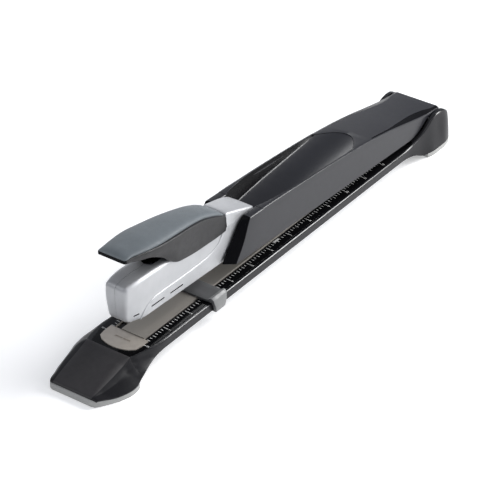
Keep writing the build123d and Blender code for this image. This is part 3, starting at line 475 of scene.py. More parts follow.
def base_half(s, left, kind):
    """Half of the outer profile at s, from the middle outwards. kind: ramp, panel, lip or well."""
    front, edges = (FOOT_LEFT, EDGE_LEFT) if left else (FOOT_RIGHT, EDGE_RIGHT)
    low = curve_value(REAR_SIDE, s) if s > 200 else curve_value(front, s)
    edge = curve_value(EDGE_REAR, s) if s > 200 else curve_value(edges, s)
    bottom, top = curve_value(BASE_BOTTOM, s), curve_value(BASE_EDGE_Z, s)
    low = max(low, edge)
    if kind == "well":
        floor = min(BACK_WALL_Z, top - 0.3) if s >= WELL_BACK else WELL_FLOOR
        wall = min(WELL_HALF, edge - 1.4)
    elif kind == "panel":
        floor, wall = PANEL_Z, curve_value(PANEL_EDGE_HALF, s) + 0.1
    else:
        floor, wall = top, edge * 0.45
    inner = [(wall * t, floor) for t in steps(0, 1, SIDE_STEPS)] + [(wall, top)]
    # the rounded shoulder, then the flank down to the bottom edge
    reach = RAIL_ROUND + RAMP_ROUND * ease(RAMP_END, -25, s) * ease(-FOOT_REACH, -53, s)
    reach = min(reach, (edge - wall) * 0.7, (top - bottom) * 0.75)
    foot = (low, bottom + 0.9 * ease(10, -16, s))
    hollow = (HOLLOW_LEFT if left else HOLLOW_RIGHT) * ease(14, -14, s)
    hollow += HOLLOW_REAR * ease(332, 356, s) - BULGE_BACK * ease(374, 390, s)
    control = (mix(edge, low, 0.5 - 0.35 * hollow), mix(top, foot[1], 0.5 + 0.35 * hollow))
    toward = Vector(control) - Vector((edge, top))
    toward.normalize()
    shoulder_end = (edge + toward.x * reach, top + toward.y * reach)
    shoulder = bent((edge - reach, top), (edge, top), shoulder_end, ROUND_STEPS)
    flank = bent(shoulder_end, control, foot, FLANK_STEPS)
    return inner + shoulder + flank[1:] + [(low - 0.15, bottom)]


def base_inside(s, outer, kind):
    """The underside of an outer half profile, a wall's thickness below it. Cheeks are solid."""
    bottom = curve_value(BASE_BOTTOM, s)
    roof = WELL_FLOOR - BASE_WALL if kind == "well" else DECK_Z
    return [(x - BASE_WALL if x > 8 else x, max(bottom, min(roof, z - BASE_WALL))) for x, z in outer]


def build_base():
    skin = Skin()
    ramp = [-60.6, -60.4, -60.0, -59.2, -57.6, -55] + steps(-52, -20, 16) + [RAMP_END - 0.5, RAMP_END]
    panel = [RAMP_END + 0.02, -16.6, -15.6, -14.4, -13] + steps(-11, 13, 12) + steps(17, 29, 3)
    panel += steps(40, 320, 10) + steps(326, PANEL_END, 8)
    well = steps(WELL_FRONT, WELL_BACK - 0.02, 16)
    well += [WELL_BACK, 393, 395, 397, 399, 400.5, 401.5, REAR_END]
    kinds = {"ramp": ramp, "panel": panel, "lip": [PANEL_END + 0.02, 349], "well": well}
    stations = [(s, kind) for kind, places in kinds.items() for s in places]
    outer, inside = [], []
    for s, kind in stations:
        droop = FRONT_DROOP * ease(-59.1, -60.6, s) ** 2
        right, left = base_half(s, False, kind), base_half(s, True, kind)
        right = [(x, max(PAD_TOP, z - droop)) for x, z in right]
        left = [(x, max(PAD_TOP, z - droop)) for x, z in left]
        inside_right, inside_left = base_inside(s, right, kind), base_inside(s, left, kind)
        outer.append([(x, s, z) for x, z in mirrored(right, left)])
        inside.append([(x, s, z) for x, z in mirrored(inside_right, inside_left)])
    count = len(outer[0])
    shoulder = FLANK_STEPS + 1 + ROUND_STEPS // 2
    first_panel = next(i for i, station in enumerate(stations) if station[1] == "panel")

    def paint(i, k):
        k = min(k, count - 2 - k)
        if k >= shoulder:
            return 1 if i < first_panel - 1 else 2
        return 0

    skin.shell(outer, inside, paint)
    return skin.finish("base_moulding", "base", (charcoal, ramp_texture, rim_gloss))


base = build_base()
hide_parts("base_shell")


# ---- ruler panel, its print, rubber pads ----
def build_panel():
    edge = [(curve_value(PANEL_EDGE_HALF, s), s) for s in (-17.2, -17.1, -16.8, -16.2, -15.2, -13.5)]
    edge += [(curve_value(PANEL_EDGE_HALF, s), s) for s in steps(-11, 8, 10)]
    edge += [(22.2, 60.0), (22.2, 200.0), (22.2, PANEL_END - 0.1)]
    right = [(0.0, -17.28), (16.0, -17.25)] + edge
    outline = right + [(-x, s) for x, s in reversed(right) if x > 0]
    return plate("ruler_panel_gloss", outline, PANEL_Z, DECK_Z, "base", (deck_gloss,), 0.03)


def plate(name, outline, low, high, body, materials, rim):
    """A flat plate from its plan outline, with a small rounding round its top edge."""
    skin = Skin()
    centre_x = sum(x for x, s in outline) / len(outline)
    centre_s = (min(s for x, s in outline) + max(s for x, s in outline)) / 2
    rings = [[(x, s, low) for x, s in outline]]
    for angle in (0, 30, 60, 90):
        turn = math.radians(angle)
        inset, z = rim * (1 - math.cos(turn)), high - rim + rim * math.sin(turn)
        ring = []
        for x, s in outline:
            ring.append((x - math.copysign(inset, x - centre_x), s - math.copysign(inset, s - centre_s), z))
        rings.append(ring)
    rows = skin.rows(rings)
    skin.grid(rows, wrap=True)
    for row in (rows[0][::-1], rows[-1]):
        face = skin.bm.faces.new(row)
        face.smooth = True
    return skin.finish(name, body, materials)


panel = build_panel()
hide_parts("ruler_panel")

RULER_INCHES = 12
PRINT_T = 0.05  # the print's thickness
TICK_BASE = 14.9  # half-width where the ticks start
TICK_WIDTH = 0.46
TICK_LENGTHS = {0: 3.8, 4: 2.9, 2: 2.4, 6: 2.4}  # by eighths of an inch; the others are short
SHORT_TICK = 1.9
NUMBER_SIZE = 3.0
NUMBER_X = 20.3
STOP_MARK = ((14.2, 161.5), (16.0, 161.5), (16.0, 168.8), (14.2, 168.8))


def flat_patch(skin, corners):
    """A printed patch: a thin closed box on the panel over four (x, s) corners."""
    low = skin.rows([[(x, y, DECK_Z) for x, y in corners]])[0]
    high = skin.rows([[(x, y, DECK_Z + PRINT_T) for x, y in corners]])[0]
    skin.quad(high)
    skin.quad(low[::-1])
    skin.strip(low + low[:1], high + high[:1])


def build_print():
    """Ticks every eighth of an inch down both sides, with a number at each inch."""
    skin = Skin()
    for hand in (1, -1):
        for eighth in range(RULER_INCHES * 8 + 1):
            s = eighth * INCH / 8
            end = TICK_BASE + TICK_LENGTHS.get(eighth % 8, SHORT_TICK)
            near, far = s - TICK_WIDTH / 2, s + TICK_WIDTH / 2
            corners = [(TICK_BASE, near), (TICK_BASE, far), (end, far), (end, near)]
            flat_patch(skin, [(hand * x, y) for x, y in corners])
    flat_patch(skin, STOP_MARK)
    skin.finish("ruler_ticks", "base", (print_white,))
    for hand in (1, -1):
        for inch in range(RULER_INCHES + 1):
            text = bpy.data.curves.new("inch", "FONT")
            text.body = str(inch)
            text.size = NUMBER_SIZE * MM
            text.align_x = "CENTER"
            text.align_y = "CENTER"
            text.extrude = PRINT_T / 2 * MM
            holder = added("inch", text)
            mesh = shown_mesh(holder)
            bpy.data.objects.remove(holder)
            weld = bmesh.new()
            weld.from_mesh(mesh)
            bmesh.ops.remove_doubles(weld, verts=weld.verts, dist=0.001 * MM)
            weld.to_mesh(mesh)
            weld.free()
            name = "ruler_number_" + ("right_" if hand > 0 else "left_") + str(inch)
            number = added(name, mesh)
            mesh.materials.clear()
            mesh.materials.append(print_white)
            spot = place((hand * NUMBER_X, inch * INCH, DECK_Z + PRINT_T / 2))
            turn = Matrix.Rotation(math.radians(90 if hand > 0 else -90), 4, "Z")
            mesh.transform(Matrix.Translation(spot) @ turn)
            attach(number, "base")


build_print()


FRONT_LIP = 1.0  # the front pad's front edge stands this much higher than its sides


def build_pad(name, right, left, node):
    """A rubber foot with straight sides and a bevelled sole."""
    skin = Skin()
    rings = []
    centre = (right[0][1] + right[-1][1]) / 2
    for inset, z in ((0.6, 0.0), (0.15, 0.2), (0.0, 0.6), (0.0, PAD_TOP - 0.3), (0.3, PAD_TOP - 0.02)):
        ring = []
        for hand, side in ((1, right), (-1, list(reversed(left)))):
            for x, s in side:
                raised = z + FRONT_LIP * ease(-50, -58, s) * ease(1, PAD_TOP - 0.3, z)
                ring.append((hand * (x - inset), s + math.copysign(inset, centre - s), raised))
        rings.append(ring)
    rows = skin.rows(rings)
    skin.grid(rows, wrap=True)
    skin.bm.faces.new(rows[0][::-1])
    skin.bm.faces.new(rows[-1])
    pad = skin.finish(name, "base", (pad_rubber,))
    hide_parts(node)


PAD_BACK = -25.0
PAD_WIDEST = 33.3
FRONT_PAD_RIGHT = [(min(x + 0.1, PAD_WIDEST), s) for s, x in FOOT_RIGHT if s < PAD_BACK] + [(32.0, PAD_BACK)]
FRONT_PAD_LEFT = [(x + 0.1, s) for s, x in FOOT_LEFT if s < PAD_BACK] + [(31.5, PAD_BACK)]
REAR_PAD = [(29.9, 358.0), (31.0, 362.0), (31.6, 367.0), (31.6, 380.0), (30.2, 388.0)]
REAR_PAD += [(28.2, 392.5), (25.7, 396.0), (22.2, 399.5), (18.4, REAR_END)]
build_pad("front_pad_rubber", FRONT_PAD_RIGHT, FRONT_PAD_LEFT, "front_foot_pad")
build_pad("rear_pad_rubber", REAR_PAD, REAR_PAD, "rear_foot_pad")

# ---- arm: a long cover with two prongs and a trough ----
ARM_CROWN = (
    (118.0, 50.2), (145.0, 50.4), (171.0, 49.9), (197.0, 49.1), (224.0, 48.2), (251.0, 47.0),
    (281.0, 44.9), (310.0, 42.0), (341.0, 38.1), (371.0, 34.5), (380.0, 33.5), (386.5, 32.7),
)
ARM_LOW_EDGE = (
    (139.0, ARM_BOTTOM), (342.0, ARM_BOTTOM), (346.0, 20.0), (351.0, 21.2), (357.5, 23.6),
    (364.6, 27.8), (369.0, 30.0), (375.0, 29.8), (386.5, 28.0),
)
ARM_HALF_LOW = 21.9
ARM_HALF_TOP = 20.5
ARM_TOP = 50.4  # the height where its half-width is ARM_HALF_TOP
ARM_START = 139.0
ARM_END = 386.5
ARM_WALL = 2.2
ARM_INSIDE_HALF = 19.3
ARM_END_ROUND = (1.3, 1.1)  # along the arm, and inwards
LEAF_START = 288.0  # where the leaf along the arm's side begins; the leaf is painted dark as painted shade
LEAF_LEAST = 2.6
RIDGE_ROUND = 1.3
TROUGH_DIP = 3.4
TROUGH_HALF = 17.6
TROUGH_RISE = 0.104
TROUGH_LOW = (161.0, 32.0)  # where the middle of the trough's floor is, in side view
WALL_FOOT = ((139.0, 13.3), (143.0, 14.6), (151.0, 16.0), (166.0, 16.9), (190.0, TROUGH_HALF))
WALL_TOP = ((139.0, 13.5), (143.0, 14.9), (151.0, 16.4), (160.0, 17.4), (176.0, 18.6), (200.0, 19.2))
LEAF_DROP = ((288.0, 0.0), (320.0, 0.7), (345.0, 1.6), (366.0, 2.2), (380.0, 1.6), (386.5, 1.0))
LEAF_WIDTH = (
    (288.0, 0.35), (310.0, 2.2), (335.0, 5.0), (352.0, 6.2), (366.0, 5.4), (377.0, 2.6),
    (386.5, 1.2),
)
FLOOR_STEPS = 12
TROUGH_STEP = 0.4  # the trough's rim stands this far above its floor


def crown(s):
    return curve_value(ARM_CROWN, s)


def trough_floor(x, s):
    middle = TROUGH_LOW[1] + TROUGH_RISE * (s - TROUGH_LOW[0])
    return middle + TROUGH_DIP * (x / TROUGH_HALF) ** 2


def trough_end():
    """Where the middle of the trough's floor has risen to the rim."""
    low, high = 260.0, 300.0
    for _ in range(30):
        middle = (low + high) / 2
        below = trough_floor(0, middle) < crown(middle) - TROUGH_STEP
        low, high = (middle, high) if below else (low, middle)
    return low


def arm_width(z):
    """The arm's half-width at height z on its drafted side."""
    return mix(ARM_HALF_LOW, ARM_HALF_TOP, (z - ARM_BOTTOM) / (ARM_TOP - ARM_BOTTOM))


def arm_profile(s, round_off=0.0):
    """Half of the arm's outer profile at s, from the middle of its top outwards and down."""
    top, low = crown(s) - round_off, curve_value(ARM_LOW_EDGE, s)
    drop, leaf = curve_value(LEAF_DROP, s), curve_value(LEAF_WIDTH, s)
    foot, brink = curve_value(WALL_FOOT, s), curve_value(WALL_TOP, s)
    rim = top - TROUGH_STEP
    if trough_floor(0, s) >= rim:
        foot = brink = 0.0
    elif trough_floor(foot, s) >= rim:
        foot = math.sqrt((rim - trough_floor(0, s)) / TROUGH_DIP) * TROUGH_HALF
        brink = foot + 0.5
    floor = [(foot * t, min(top, trough_floor(foot * t, s))) for t in steps(0, 1, FLOOR_STEPS)]
    ridge_z = top - drop
    ridge = arm_width(ridge_z) - round_off
    inner_leaf = max(ridge - max(leaf, LEAF_LEAST), brink + 0.02)
    low_half = arm_width(low)
    corners = [floor[-2], floor[-1], (brink, top), (inner_leaf, top), (ridge, ridge_z), (low_half, low)]
    depth = top - trough_floor(foot, s)
    radii = {1: min(1.1, depth * 0.3), 2: min(0.5, depth * 0.4), 3: 1.4 if leaf > 1 else 0.2, 4: RIDGE_ROUND}
    outer = filleted(corners, radii)[1:-1]
    start = outer[-1]
    for t in steps(0, 1, SIDE_STEPS)[1:]:
        outer.append((mix(start[0], low_half - round_off, t), mix(start[1], low, t)))
    return floor[:-1] + outer


def arm_inside(outer, s):
    """The hollow side of the cover, for an outer half profile."""
    low = curve_value(ARM_LOW_EDGE, s)
    tail = SIDE_STEPS + 1
    inside = [(min(x, ARM_INSIDE_HALF), max(low, z - ARM_WALL)) for x, z in outer]
    top = max(low, outer[-tail][1] - ARM_WALL)
    for i, (x, z) in enumerate(outer[-tail:]):
        inside[len(outer) - tail + i] = (x - ARM_WALL, mix(top, low, i / SIDE_STEPS))
    return inside


def build_arm():
    skin = Skin(level=True)
    stations = steps(ARM_START, 155, 8) + steps(160, 250, 15)
    stations += steps(253, 262, 6)[:-1]
    end = trough_end()
    stations += [end - (end - 262) * (1 - t) ** 2 for t in steps(0, 1, 12)] + [end + 0.5]
    stations += steps(LEAF_START, 342, 9) + steps(345, 383, 14) + [384.5, 385.5, 386.2, ARM_END]
    outer, inside = [], []
    along, inwards = ARM_END_ROUND
    for s in stations:
        turn = max(0.0, (s - (ARM_END - along)) / along)
        half = arm_profile(s, inwards * (1 - math.sqrt(max(0.0, 1 - turn * turn))))
        outer.append([(x, s, z) for x, z in mirrored(half)])
        inside.append([(x, s, z) for x, z in mirrored(arm_inside(half, s))])
    leaf_from = next(i for i, s in enumerate(stations) if s >= LEAF_START)
    count = len(outer[0])
    leaf_column, wall_column = SIDE_STEPS + 4, SIDE_STEPS + 14

    # the trough's wall and the leaf take the darker material: painted shade
    def paint(i, k):
        k = min(k, count - 2 - k)
        return 1 if k == wall_column or (i >= leaf_from and 0 <= k - leaf_column <= 2) else 0

    skin.shell(outer, inside, paint, back=1, edges=1)
    build_prongs(skin)
    return skin.finish("arm_cover", "arm", (arm_satin, arm_gloss_painted_shade))


PRONG_OUTER_FRONT = (
    (19.6, 104.3), (21.3, 105.4), (26.8, 109.8), (34.8, 115.0), (45.4, 119.8), (50.4, 122.2),
)
PRONG_INNER_FRONT = (
    (19.6, 97.6), (24.4, 100.9), (30.1, 105.6), (38.3, 111.7), (45.8, 117.6), (50.4, 122.8),
)
PRONG_INNER = 13.3
PRONG_TOP = 50.2
PRONG_ROUND = 1.1


def prong_ring(z):
    """One level slice of a prong, from its inner rear corner round the front to the outer rear."""
    outer, inner = curve_value(PRONG_OUTER_FRONT, z), curve_value(PRONG_INNER_FRONT, z)
    width = arm_width(z)
    corners = [(PRONG_INNER, ARM_START), (PRONG_INNER, inner), (width, outer), (width, ARM_START)]
    return filleted(corners, {1: 0.7, 2: 1.5}, 5)


def build_prongs(skin):
    """The two prongs that hold the head, each with a slanted front face painted dark as painted shade, a
    little glossy.
    """
    for hand in (1, -1):
        levels = steps(ARM_BOTTOM, PRONG_TOP - PRONG_ROUND, 10)
        rings = [[(hand * x, s, z) for x, s in prong_ring(z)] for z in levels]
        for angle in (22.5, 45, 67.5, 90):
            turn = math.radians(angle)
            inset = PRONG_ROUND * (1 - math.cos(turn))
            z = PRONG_TOP - PRONG_ROUND + PRONG_ROUND * math.sin(turn)
            ring = []
            for x, s in prong_ring(z):
                middle = (PRONG_INNER + ARM_HALF_TOP) / 2
                back = inset if s < ARM_START - 1 else 0
                ring.append((hand * (x - math.copysign(inset, x - middle)), s + back, z))
            rings.append(ring)
        rows = skin.rows(rings)
        count = len(rows[0])
        skin.grid(rows, wrap=True, paint=lambda i, k: 1 if 1 <= k <= count - 5 else 0)
        face = skin.bm.faces.new(rows[-1])
        face.smooth = True
        skin.bm.faces.new(rows[0][::-1])


arm = build_arm()
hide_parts("arm_shell")

# ---- head: two silver halves, seam in the middle ----
NOSE_LINE = ((HEAD_BOTTOM, -6.0), (21.0, -7.8), (23.5, -9.2), (28.0, -9.9), (38.0, -11.2), (50.0, -11.3))
HEAD_TOP_LINE = ((-11.3, 49.6), (-5.0, 50.9), (0.0, 51.6), (8.0, HEAD_TOP), (140.0, HEAD_TOP))
SLOTS = ((-2.6, 2.7), (15.4, 30.5), (37.6, 52.4))
SLOT_LOW, SLOT_HIGH = 23.7, 24.8
SEAM = 0.09
HEAD_END = 139.8
HEAD_WAIST = 104.6  # behind it the head is only as tall as the yoke leaves it
YOKE_SEAT = 47.0
HEAD_ROUND = 3.4
HEAD_MOUTH = (24.0, 103.0, 5.2)  # the opening in the top under the handle: from, to, half-width
# the raised lower panel on each side ends in this line, from the nose to the yoke
TRIM_LINE = (
    (4.0, 19.9), (6.5, 23.6), (9.5, 26.3), (14.8, 29.2), (22.9, 30.8), (40.0, 31.1), (60.0, 31.4),
    (74.0, 32.0), (82.5, 32.9), (89.8, 35.0), (95.8, 38.4), (99.4, 43.1), (101.0, 46.6),
)
TRIM_END = 101.0  # behind it the panel covers the whole side
TRIM_PROUD = 0.6
TRIM_ROUND = 1.1
TRIM_TUCK = 0.4  # how far its rim goes into the head
HEAD_WALL = 1.5


def in_slot(start, end):
    """True for a stretch of the side that lies within one of the slots."""
    return any(first <= start and end <= last for first, last in SLOTS)


def head_half_width(s, z):
    """Half-width of the head: the nose narrows in plan and towards its bottom."""
    nose = curve_value(NOSE_LINE, z)
    front = mix(7.6, 9.4, ease(19, 45, z))
    reach = max(0.0, min(1.0, (s - nose) / 17)) ** 0.62
    return mix(front, HEAD_HALF, ease(0, 1, reach)) + 0.4 * ease(100, 128, s)


def head_shoulder(s):
    """The head's height at s, before its top edge is rounded."""
    return curve_value(HEAD_TOP_LINE, s) if s <= HEAD_WAIST else YOKE_SEAT


def build_head_half(name, node, hand):
    skin = Skin(level=True)
    stations = {s for slot in SLOTS for s in slot}
    stations = sorted(stations | {-5.0, 6.0, 9.0, 12.0, 22.0, 24.0, 26.0, 45.0, 60.0})
    stations += [70.0, 80.0, 90.0, 98.0, 103.0, HEAD_WAIST, HEAD_WAIST + 0.05, 112.0, 122.0, 132.0, HEAD_END]
    levels = [HEAD_BOTTOM, 20.6, 22.0, SLOT_LOW, SLOT_HIGH, 28.0, 32.0, 36.0, 40.0, 43.0]
    corner_steps = 6

    def outline(z, inset):
        """Plan outline at height z: the front, the rounded corner, the side."""
        nose = curve_value(NOSE_LINE, z)
        side = head_half_width(nose + HEAD_ROUND, z)
        points = [(mix(SEAM, side - HEAD_ROUND, t), nose + inset) for t in steps(0, 1, 4)[:-1]]
        for angle in steps(0, 90, corner_steps):
            turn = math.radians(angle)
            reach = HEAD_ROUND - inset
            x = side - HEAD_ROUND + reach * math.sin(turn)
            points.append((x, nose + HEAD_ROUND - reach * math.cos(turn)))
        points += [(head_half_width(s, z) - inset, s) for s in stations]
        return points

    rings = []
    for z in levels:
        rings.append([(hand * x, s, z) for x, s in outline(z, 0.0)])
    for angle in steps(0, 90, 6):
        turn = math.radians(angle)
        inset = HEAD_ROUND * (1 - math.cos(turn))
        ring = []
        for x, s in outline(46.0, inset):
            top = head_shoulder(s)
            lift = HEAD_ROUND if s <= HEAD_WAIST else 0.0
            ring.append((hand * x, s, top - lift + lift * math.sin(turn)))
        rings.append(ring)
    rows = skin.rows(rings)
    front = 4 + corner_steps
    for i, (a, b) in enumerate(zip(rows, rows[1:])):
        for k in range(len(a) - 1):
            side = k - front - 1
            if not (i == 3 and side >= 0 and in_slot(stations[side], stations[side + 1])):
                skin.quad([a[k], a[k + 1], b[k + 1], b[k]])
    # the top, between the rounded edge and the seam
    last = rings[-1]
    previous = rows[-1][:5]
    mouth_from, mouth_to, mouth_half = HEAD_MOUTH
    for k, s in enumerate(stations):
        width, z = abs(last[front + 1 + k][0]), last[front + 1 + k][2]
        middle = mouth_half if mouth_from <= s <= mouth_to else SEAM
        line = [(hand * mix(middle, width, t), s, z) for t in steps(0, 1, 4)[:-1]]
        line = skin.rows([line])[0] + [rows[-1][front + 1 + k]]
        skin.grid([previous, line])
        previous = line
    # the seam's inner face at the nose, so that the gap between the halves reads dark
    seam = [(hand * SEAM, curve_value(NOSE_LINE, z) + 1.5, z) for z in levels]
    skin.strip([row[0] for row in rows[: len(levels)]], skin.rows([seam])[0])
    build_trim(skin, hand)
    # the wall's inside and the slots' rims take the black material: painted shade inside the head
    half = skin.finish(name, "arm", (silver, black_nylon_and_inner_shade), solid=HEAD_WALL)
    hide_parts(node)


def build_trim(skin, hand):
    """The raised lower panel of the head's side, its upper rim rounded, its slots open."""
    stations = [s for slot in SLOTS[1:] for s in slot]
    stations += [4.0, 5.2, 6.5, 8.0, 9.5, 12.0, 19.0, 22.9, 34.0, 45.0, 60.0, 67.0, 74.0, 78.5]
    stations += [82.5, 86.5, 89.8, 93.0, 95.8, 98.0, 99.4, 100.3, TRIM_END]
    stations += [TRIM_END + 0.1, 112.0, 124.0, 134.0, HEAD_END - 0.1]
    stations.sort()
    rows = []
    for s in stations:
        top = curve_value(TRIM_LINE, s) if s <= TRIM_END else YOKE_SEAT + 0.3
        row = []
        for z in (HEAD_BOTTOM, 21.5, SLOT_LOW, SLOT_HIGH, 27.5):
            row.append((TRIM_PROUD, min(z, top - TRIM_ROUND)))
        row.append((TRIM_PROUD, mix(27.5, top, 0.5) if top > 28.6 else top - TRIM_ROUND))
        for angle in (0, 25, 50, 75):
            turn = math.radians(angle if s <= TRIM_END else 0)
            row.append((TRIM_PROUD * math.cos(turn), top - TRIM_ROUND * (1 - math.sin(turn))))
        row.append((-TRIM_TUCK if s <= TRIM_END else TRIM_PROUD, top))
        rows.append([(hand * (head_half_width(s, z) + out), s, z) for out, z in row])
    grid = skin.rows(rows)
    for i, (a, b) in enumerate(zip(grid, grid[1:])):
        for k in range(len(a) - 1):
            if not (k == 2 and in_slot(stations[i], stations[i + 1])):
                skin.quad([a[k], a[k + 1], b[k + 1], b[k]])
    front = skin.rows([[(x - hand * (TRIM_PROUD + TRIM_TUCK), s, z) for x, s, z in rows[0]]])[0]
    skin.strip(grid[0], front)


build_head_half("head_cover_right", "head_shell_right", 1)
build_head_half("head_cover_left", "head_shell_left", -1)

# ---- yoke behind the handle ----
YOKE_TOP = (
    (105.6, 57.7), (108.5, 57.5), (115.0, 56.1), (125.0, 53.8), (133.0, 51.6), (138.5, 49.4), (141.2, 47.6),
)
YOKE_HALF = ((105.4, 10.4), (115.0, 11.1), (128.0, 12.0), (134.0, 12.1), (138.5, 11.4), (141.2, 9.2))
YOKE_WALL = 1.8


def build_yoke():
    skin = Skin(level=True)
    stations = [105.6, 105.8, 106.4, 107.2] + steps(109, 133, 8) + [135, 136.5, 138, 139.2, 140.2, 141.2]
    outer, inside = [], []
    for s in stations:
        half, top = curve_value(YOKE_HALF, s), curve_value(YOKE_TOP, s)
        top -= 0.8 * (1 - math.sqrt(1 - ease(107.2, 105.6, s) ** 2)) + 0.5 * ease(138, 141.2, s)
        low = YOKE_SEAT + 0.03
        flush = mix(half, max(half, head_half_width(s, 46) + TRIM_PROUD), ease(140, 134, s))
        corners = [(half * 0.5, top + 0.25), (half, top), (flush, low)]
        profile = [(0.0, top + 0.35)] + filleted(corners, {1: 2.0}, 6)
        outer.append([(x, s, z) for x, z in mirrored(profile)])
        under = [(max(0.0, x - YOKE_WALL) if x > 6 else x, max(low, z - YOKE_WALL)) for x, z in profile]
        inside.append([(x, s, z) for x, z in mirrored(under)])
    skin.shell(outer, inside)
    yoke = skin.finish("yoke_cap", "arm", (silver,))
    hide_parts("head_yoke")


build_yoke()

# ---- handle: hard shell and soft grip ----
HANDLE_HALF = (
    (-15.4, 11.4), (-14.6, 12.1), (-12.0, 12.8), (-8.0, 13.3), (0.0, 14.7), (11.0, 16.2),
    (22.0, 16.8), (34.0, 16.5), (48.0, 15.6), (61.0, 14.4), (76.0, 13.3), (90.0, 12.9),
    (104.6, 12.4),
)
GRIP_EDGE = (
    (-15.4, 76.6), (-6.0, 76.4), (11.0, 75.2), (32.0, 73.2), (53.0, 71.2), (75.0, 67.8),
    (90.0, 63.4), (98.0, 60.2), (104.6, 57.2),
)
GRIP_CROWN = (
    (-15.4, 77.2), (-6.0, 78.6), (11.0, 78.6), (32.0, 77.0), (53.0, 74.8), (75.0, 71.0),
    (90.0, 66.6), (98.0, 62.8), (104.6, 58.4),
)
SKIRT_EDGE = (
    (-15.4, 74.0), (-8.0, 72.3), (0.7, 70.5), (9.0, 69.0), (18.0, 65.1), (29.6, 57.6), (34.3, 53.6),
    (41.4, 48.9), (47.0, 46.9), (71.0, 45.0), (98.0, 44.9), (103.2, 45.2),
)
SKIRT_HALF = 12.9
SKIRT_STEPS = 8
HANDLE_START, HANDLE_END = -15.4, 104.6
HANDLE_SHOULDER = 2.2
HANDLE_ROOF = 3.0
GRIP_INSET = 1.9
GRIP_FLOOR = 0.28  # the grip's underside is this far below its edge


def grip_half(s):
    """The grip's half-width, inside the shell's."""
    inset = GRIP_INSET * ease(HANDLE_START, -6, s) * (0.55 + 0.45 * ease(5, 40, s))
    return curve_value(HANDLE_HALF, s) - inset - 0.3


def build_handle():
    skin = Skin(level=True)
    stations = [HANDLE_START, -15.2, -14.6, -13.4, -11.5] + steps(-9, 99, 36)
    stations += [101.5, 103.2, 104.0, HANDLE_END]
    outer, inside = [], []
    for s in stations:
        half, edge = curve_value(HANDLE_HALF, s), curve_value(GRIP_EDGE, s)
        low = curve_value(SKIRT_EDGE, s)
        ends = 0.8 * ease(-14.4, HANDLE_START, s) ** 2 + 1.0 * ease(103.0, HANDLE_END, s) ** 2
        half, edge, depth = half - ends * 0.6, edge - ends, edge - low
        foot = mix(half, min(half, SKIRT_HALF), ease(3, 18, depth))
        foot -= 1.2 * ease(12, 2, depth) * ease(HANDLE_START, -8, s)
        ledge = max(2.0, grip_half(s) - 1.0)
        corners = [(ledge, edge - 0.3), (half, edge - 0.15), (mix(half, foot, 0.2), mix(edge, low, 0.45))]
        shoulder = filleted(corners, {1: HANDLE_SHOULDER}, 5)[1:-1]
        profile = [(ledge * t, edge - 0.3) for t in steps(0, 1, 4)] + shoulder
        start = shoulder[-1]
        for t in steps(0, 1, SKIRT_STEPS)[1:]:
            swell = 0.5 * math.sin(math.pi * t) * ease(6, 20, depth)
            profile.append((mix(start[0], foot, t**1.25) + swell, mix(start[1], low, t)))
        roof = edge - HANDLE_ROOF if s > 14 else low
        inner_x = foot - (1.4 if s > 14 else 0.4)
        head_part = len(profile) - SKIRT_STEPS
        under = []
        for i, (x, z) in enumerate(profile):
            level = roof if i < head_part else mix(roof, low, (i - head_part + 1) / SKIRT_STEPS)
            under.append((min(x, inner_x), level))
        outer.append([(x, s, z) for x, z in mirrored(profile)])
        inside.append([(x, s, z) for x, z in mirrored(under)])
    skin.shell(outer, inside, lambda i, k: 1 if i < 3 else 0, front=1)  # the tip painted dark: painted shade along its front rim, a little glossy
    handle = skin.finish("handle_shell", "handle", (handle_dark, arm_gloss_painted_shade))
    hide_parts("handle_body")


def build_grip():
    skin = Skin(level=True)
    stations = [-14.9, -14.7, -14.2, -13.2, -11.5] + steps(-9, 99, 36) + [101.2, 102.6, 103.4, 103.8]
    outer, inside = [], []
    for s in stations:
        half, edge, top = grip_half(s), curve_value(GRIP_EDGE, s), curve_value(GRIP_CROWN, s)
        soften = ease(HANDLE_START, -11.5, s) * ease(HANDLE_END, 100.5, s)
        top = mix(edge + 0.35, top, 0.25 + 0.75 * soften)
        half -= 0.5 * ease(-13.6, -14.9, s) + 0.5 * ease(102.4, 103.8, s)
        profile = []
        for angle in steps(90, 0, 14):
            turn = math.radians(angle)
            x = half * math.cos(turn) ** 0.8 if angle < 90 else 0.0
            profile.append((x, edge + (top - edge) * math.sin(turn) ** 0.75 if angle else edge))
        outer.append([(x, s, z) for x, z in mirrored(profile)])
        inside.append([(x, s, edge - GRIP_FLOOR) for x, z in mirrored(profile)])
    skin.shell(outer, inside)
    grip = skin.finish("grip_pad", "handle", (grip_soft,))
    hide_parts("handle_grip")


build_handle()
build_grip()

# ---- paper guide ----
GUIDE_MIDDLE = (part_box("paper_guide")[0].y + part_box("paper_guide")[1].y) / 2 / MM - STAPLE_Y
GUIDE_PROFILE = (
    # half-width, height, half-length, outer face first
    (0.0, 19.3, 9.0), (21.6, 19.3, 9.0), (22.6, 19.7, 9.0), (23.8, 20.9, 8.8), (25.6, 21.2, 8.6),
    (27.3, 19.6, 8.2), (28.3, 14.5, 7.0), (28.0, 9.6, 5.6), (27.0, 8.1, 5.0), (24.0, 8.0, 5.0),
    (22.6, 8.1, 5.0), (22.6, 9.4, 5.0), (25.1, 9.5, 5.2), (25.1, 16.9, 7.6), (13.4, 16.9, 9.0),
    (13.4, 18.15, 9.0), (0.0, 18.15, 9.0),
)


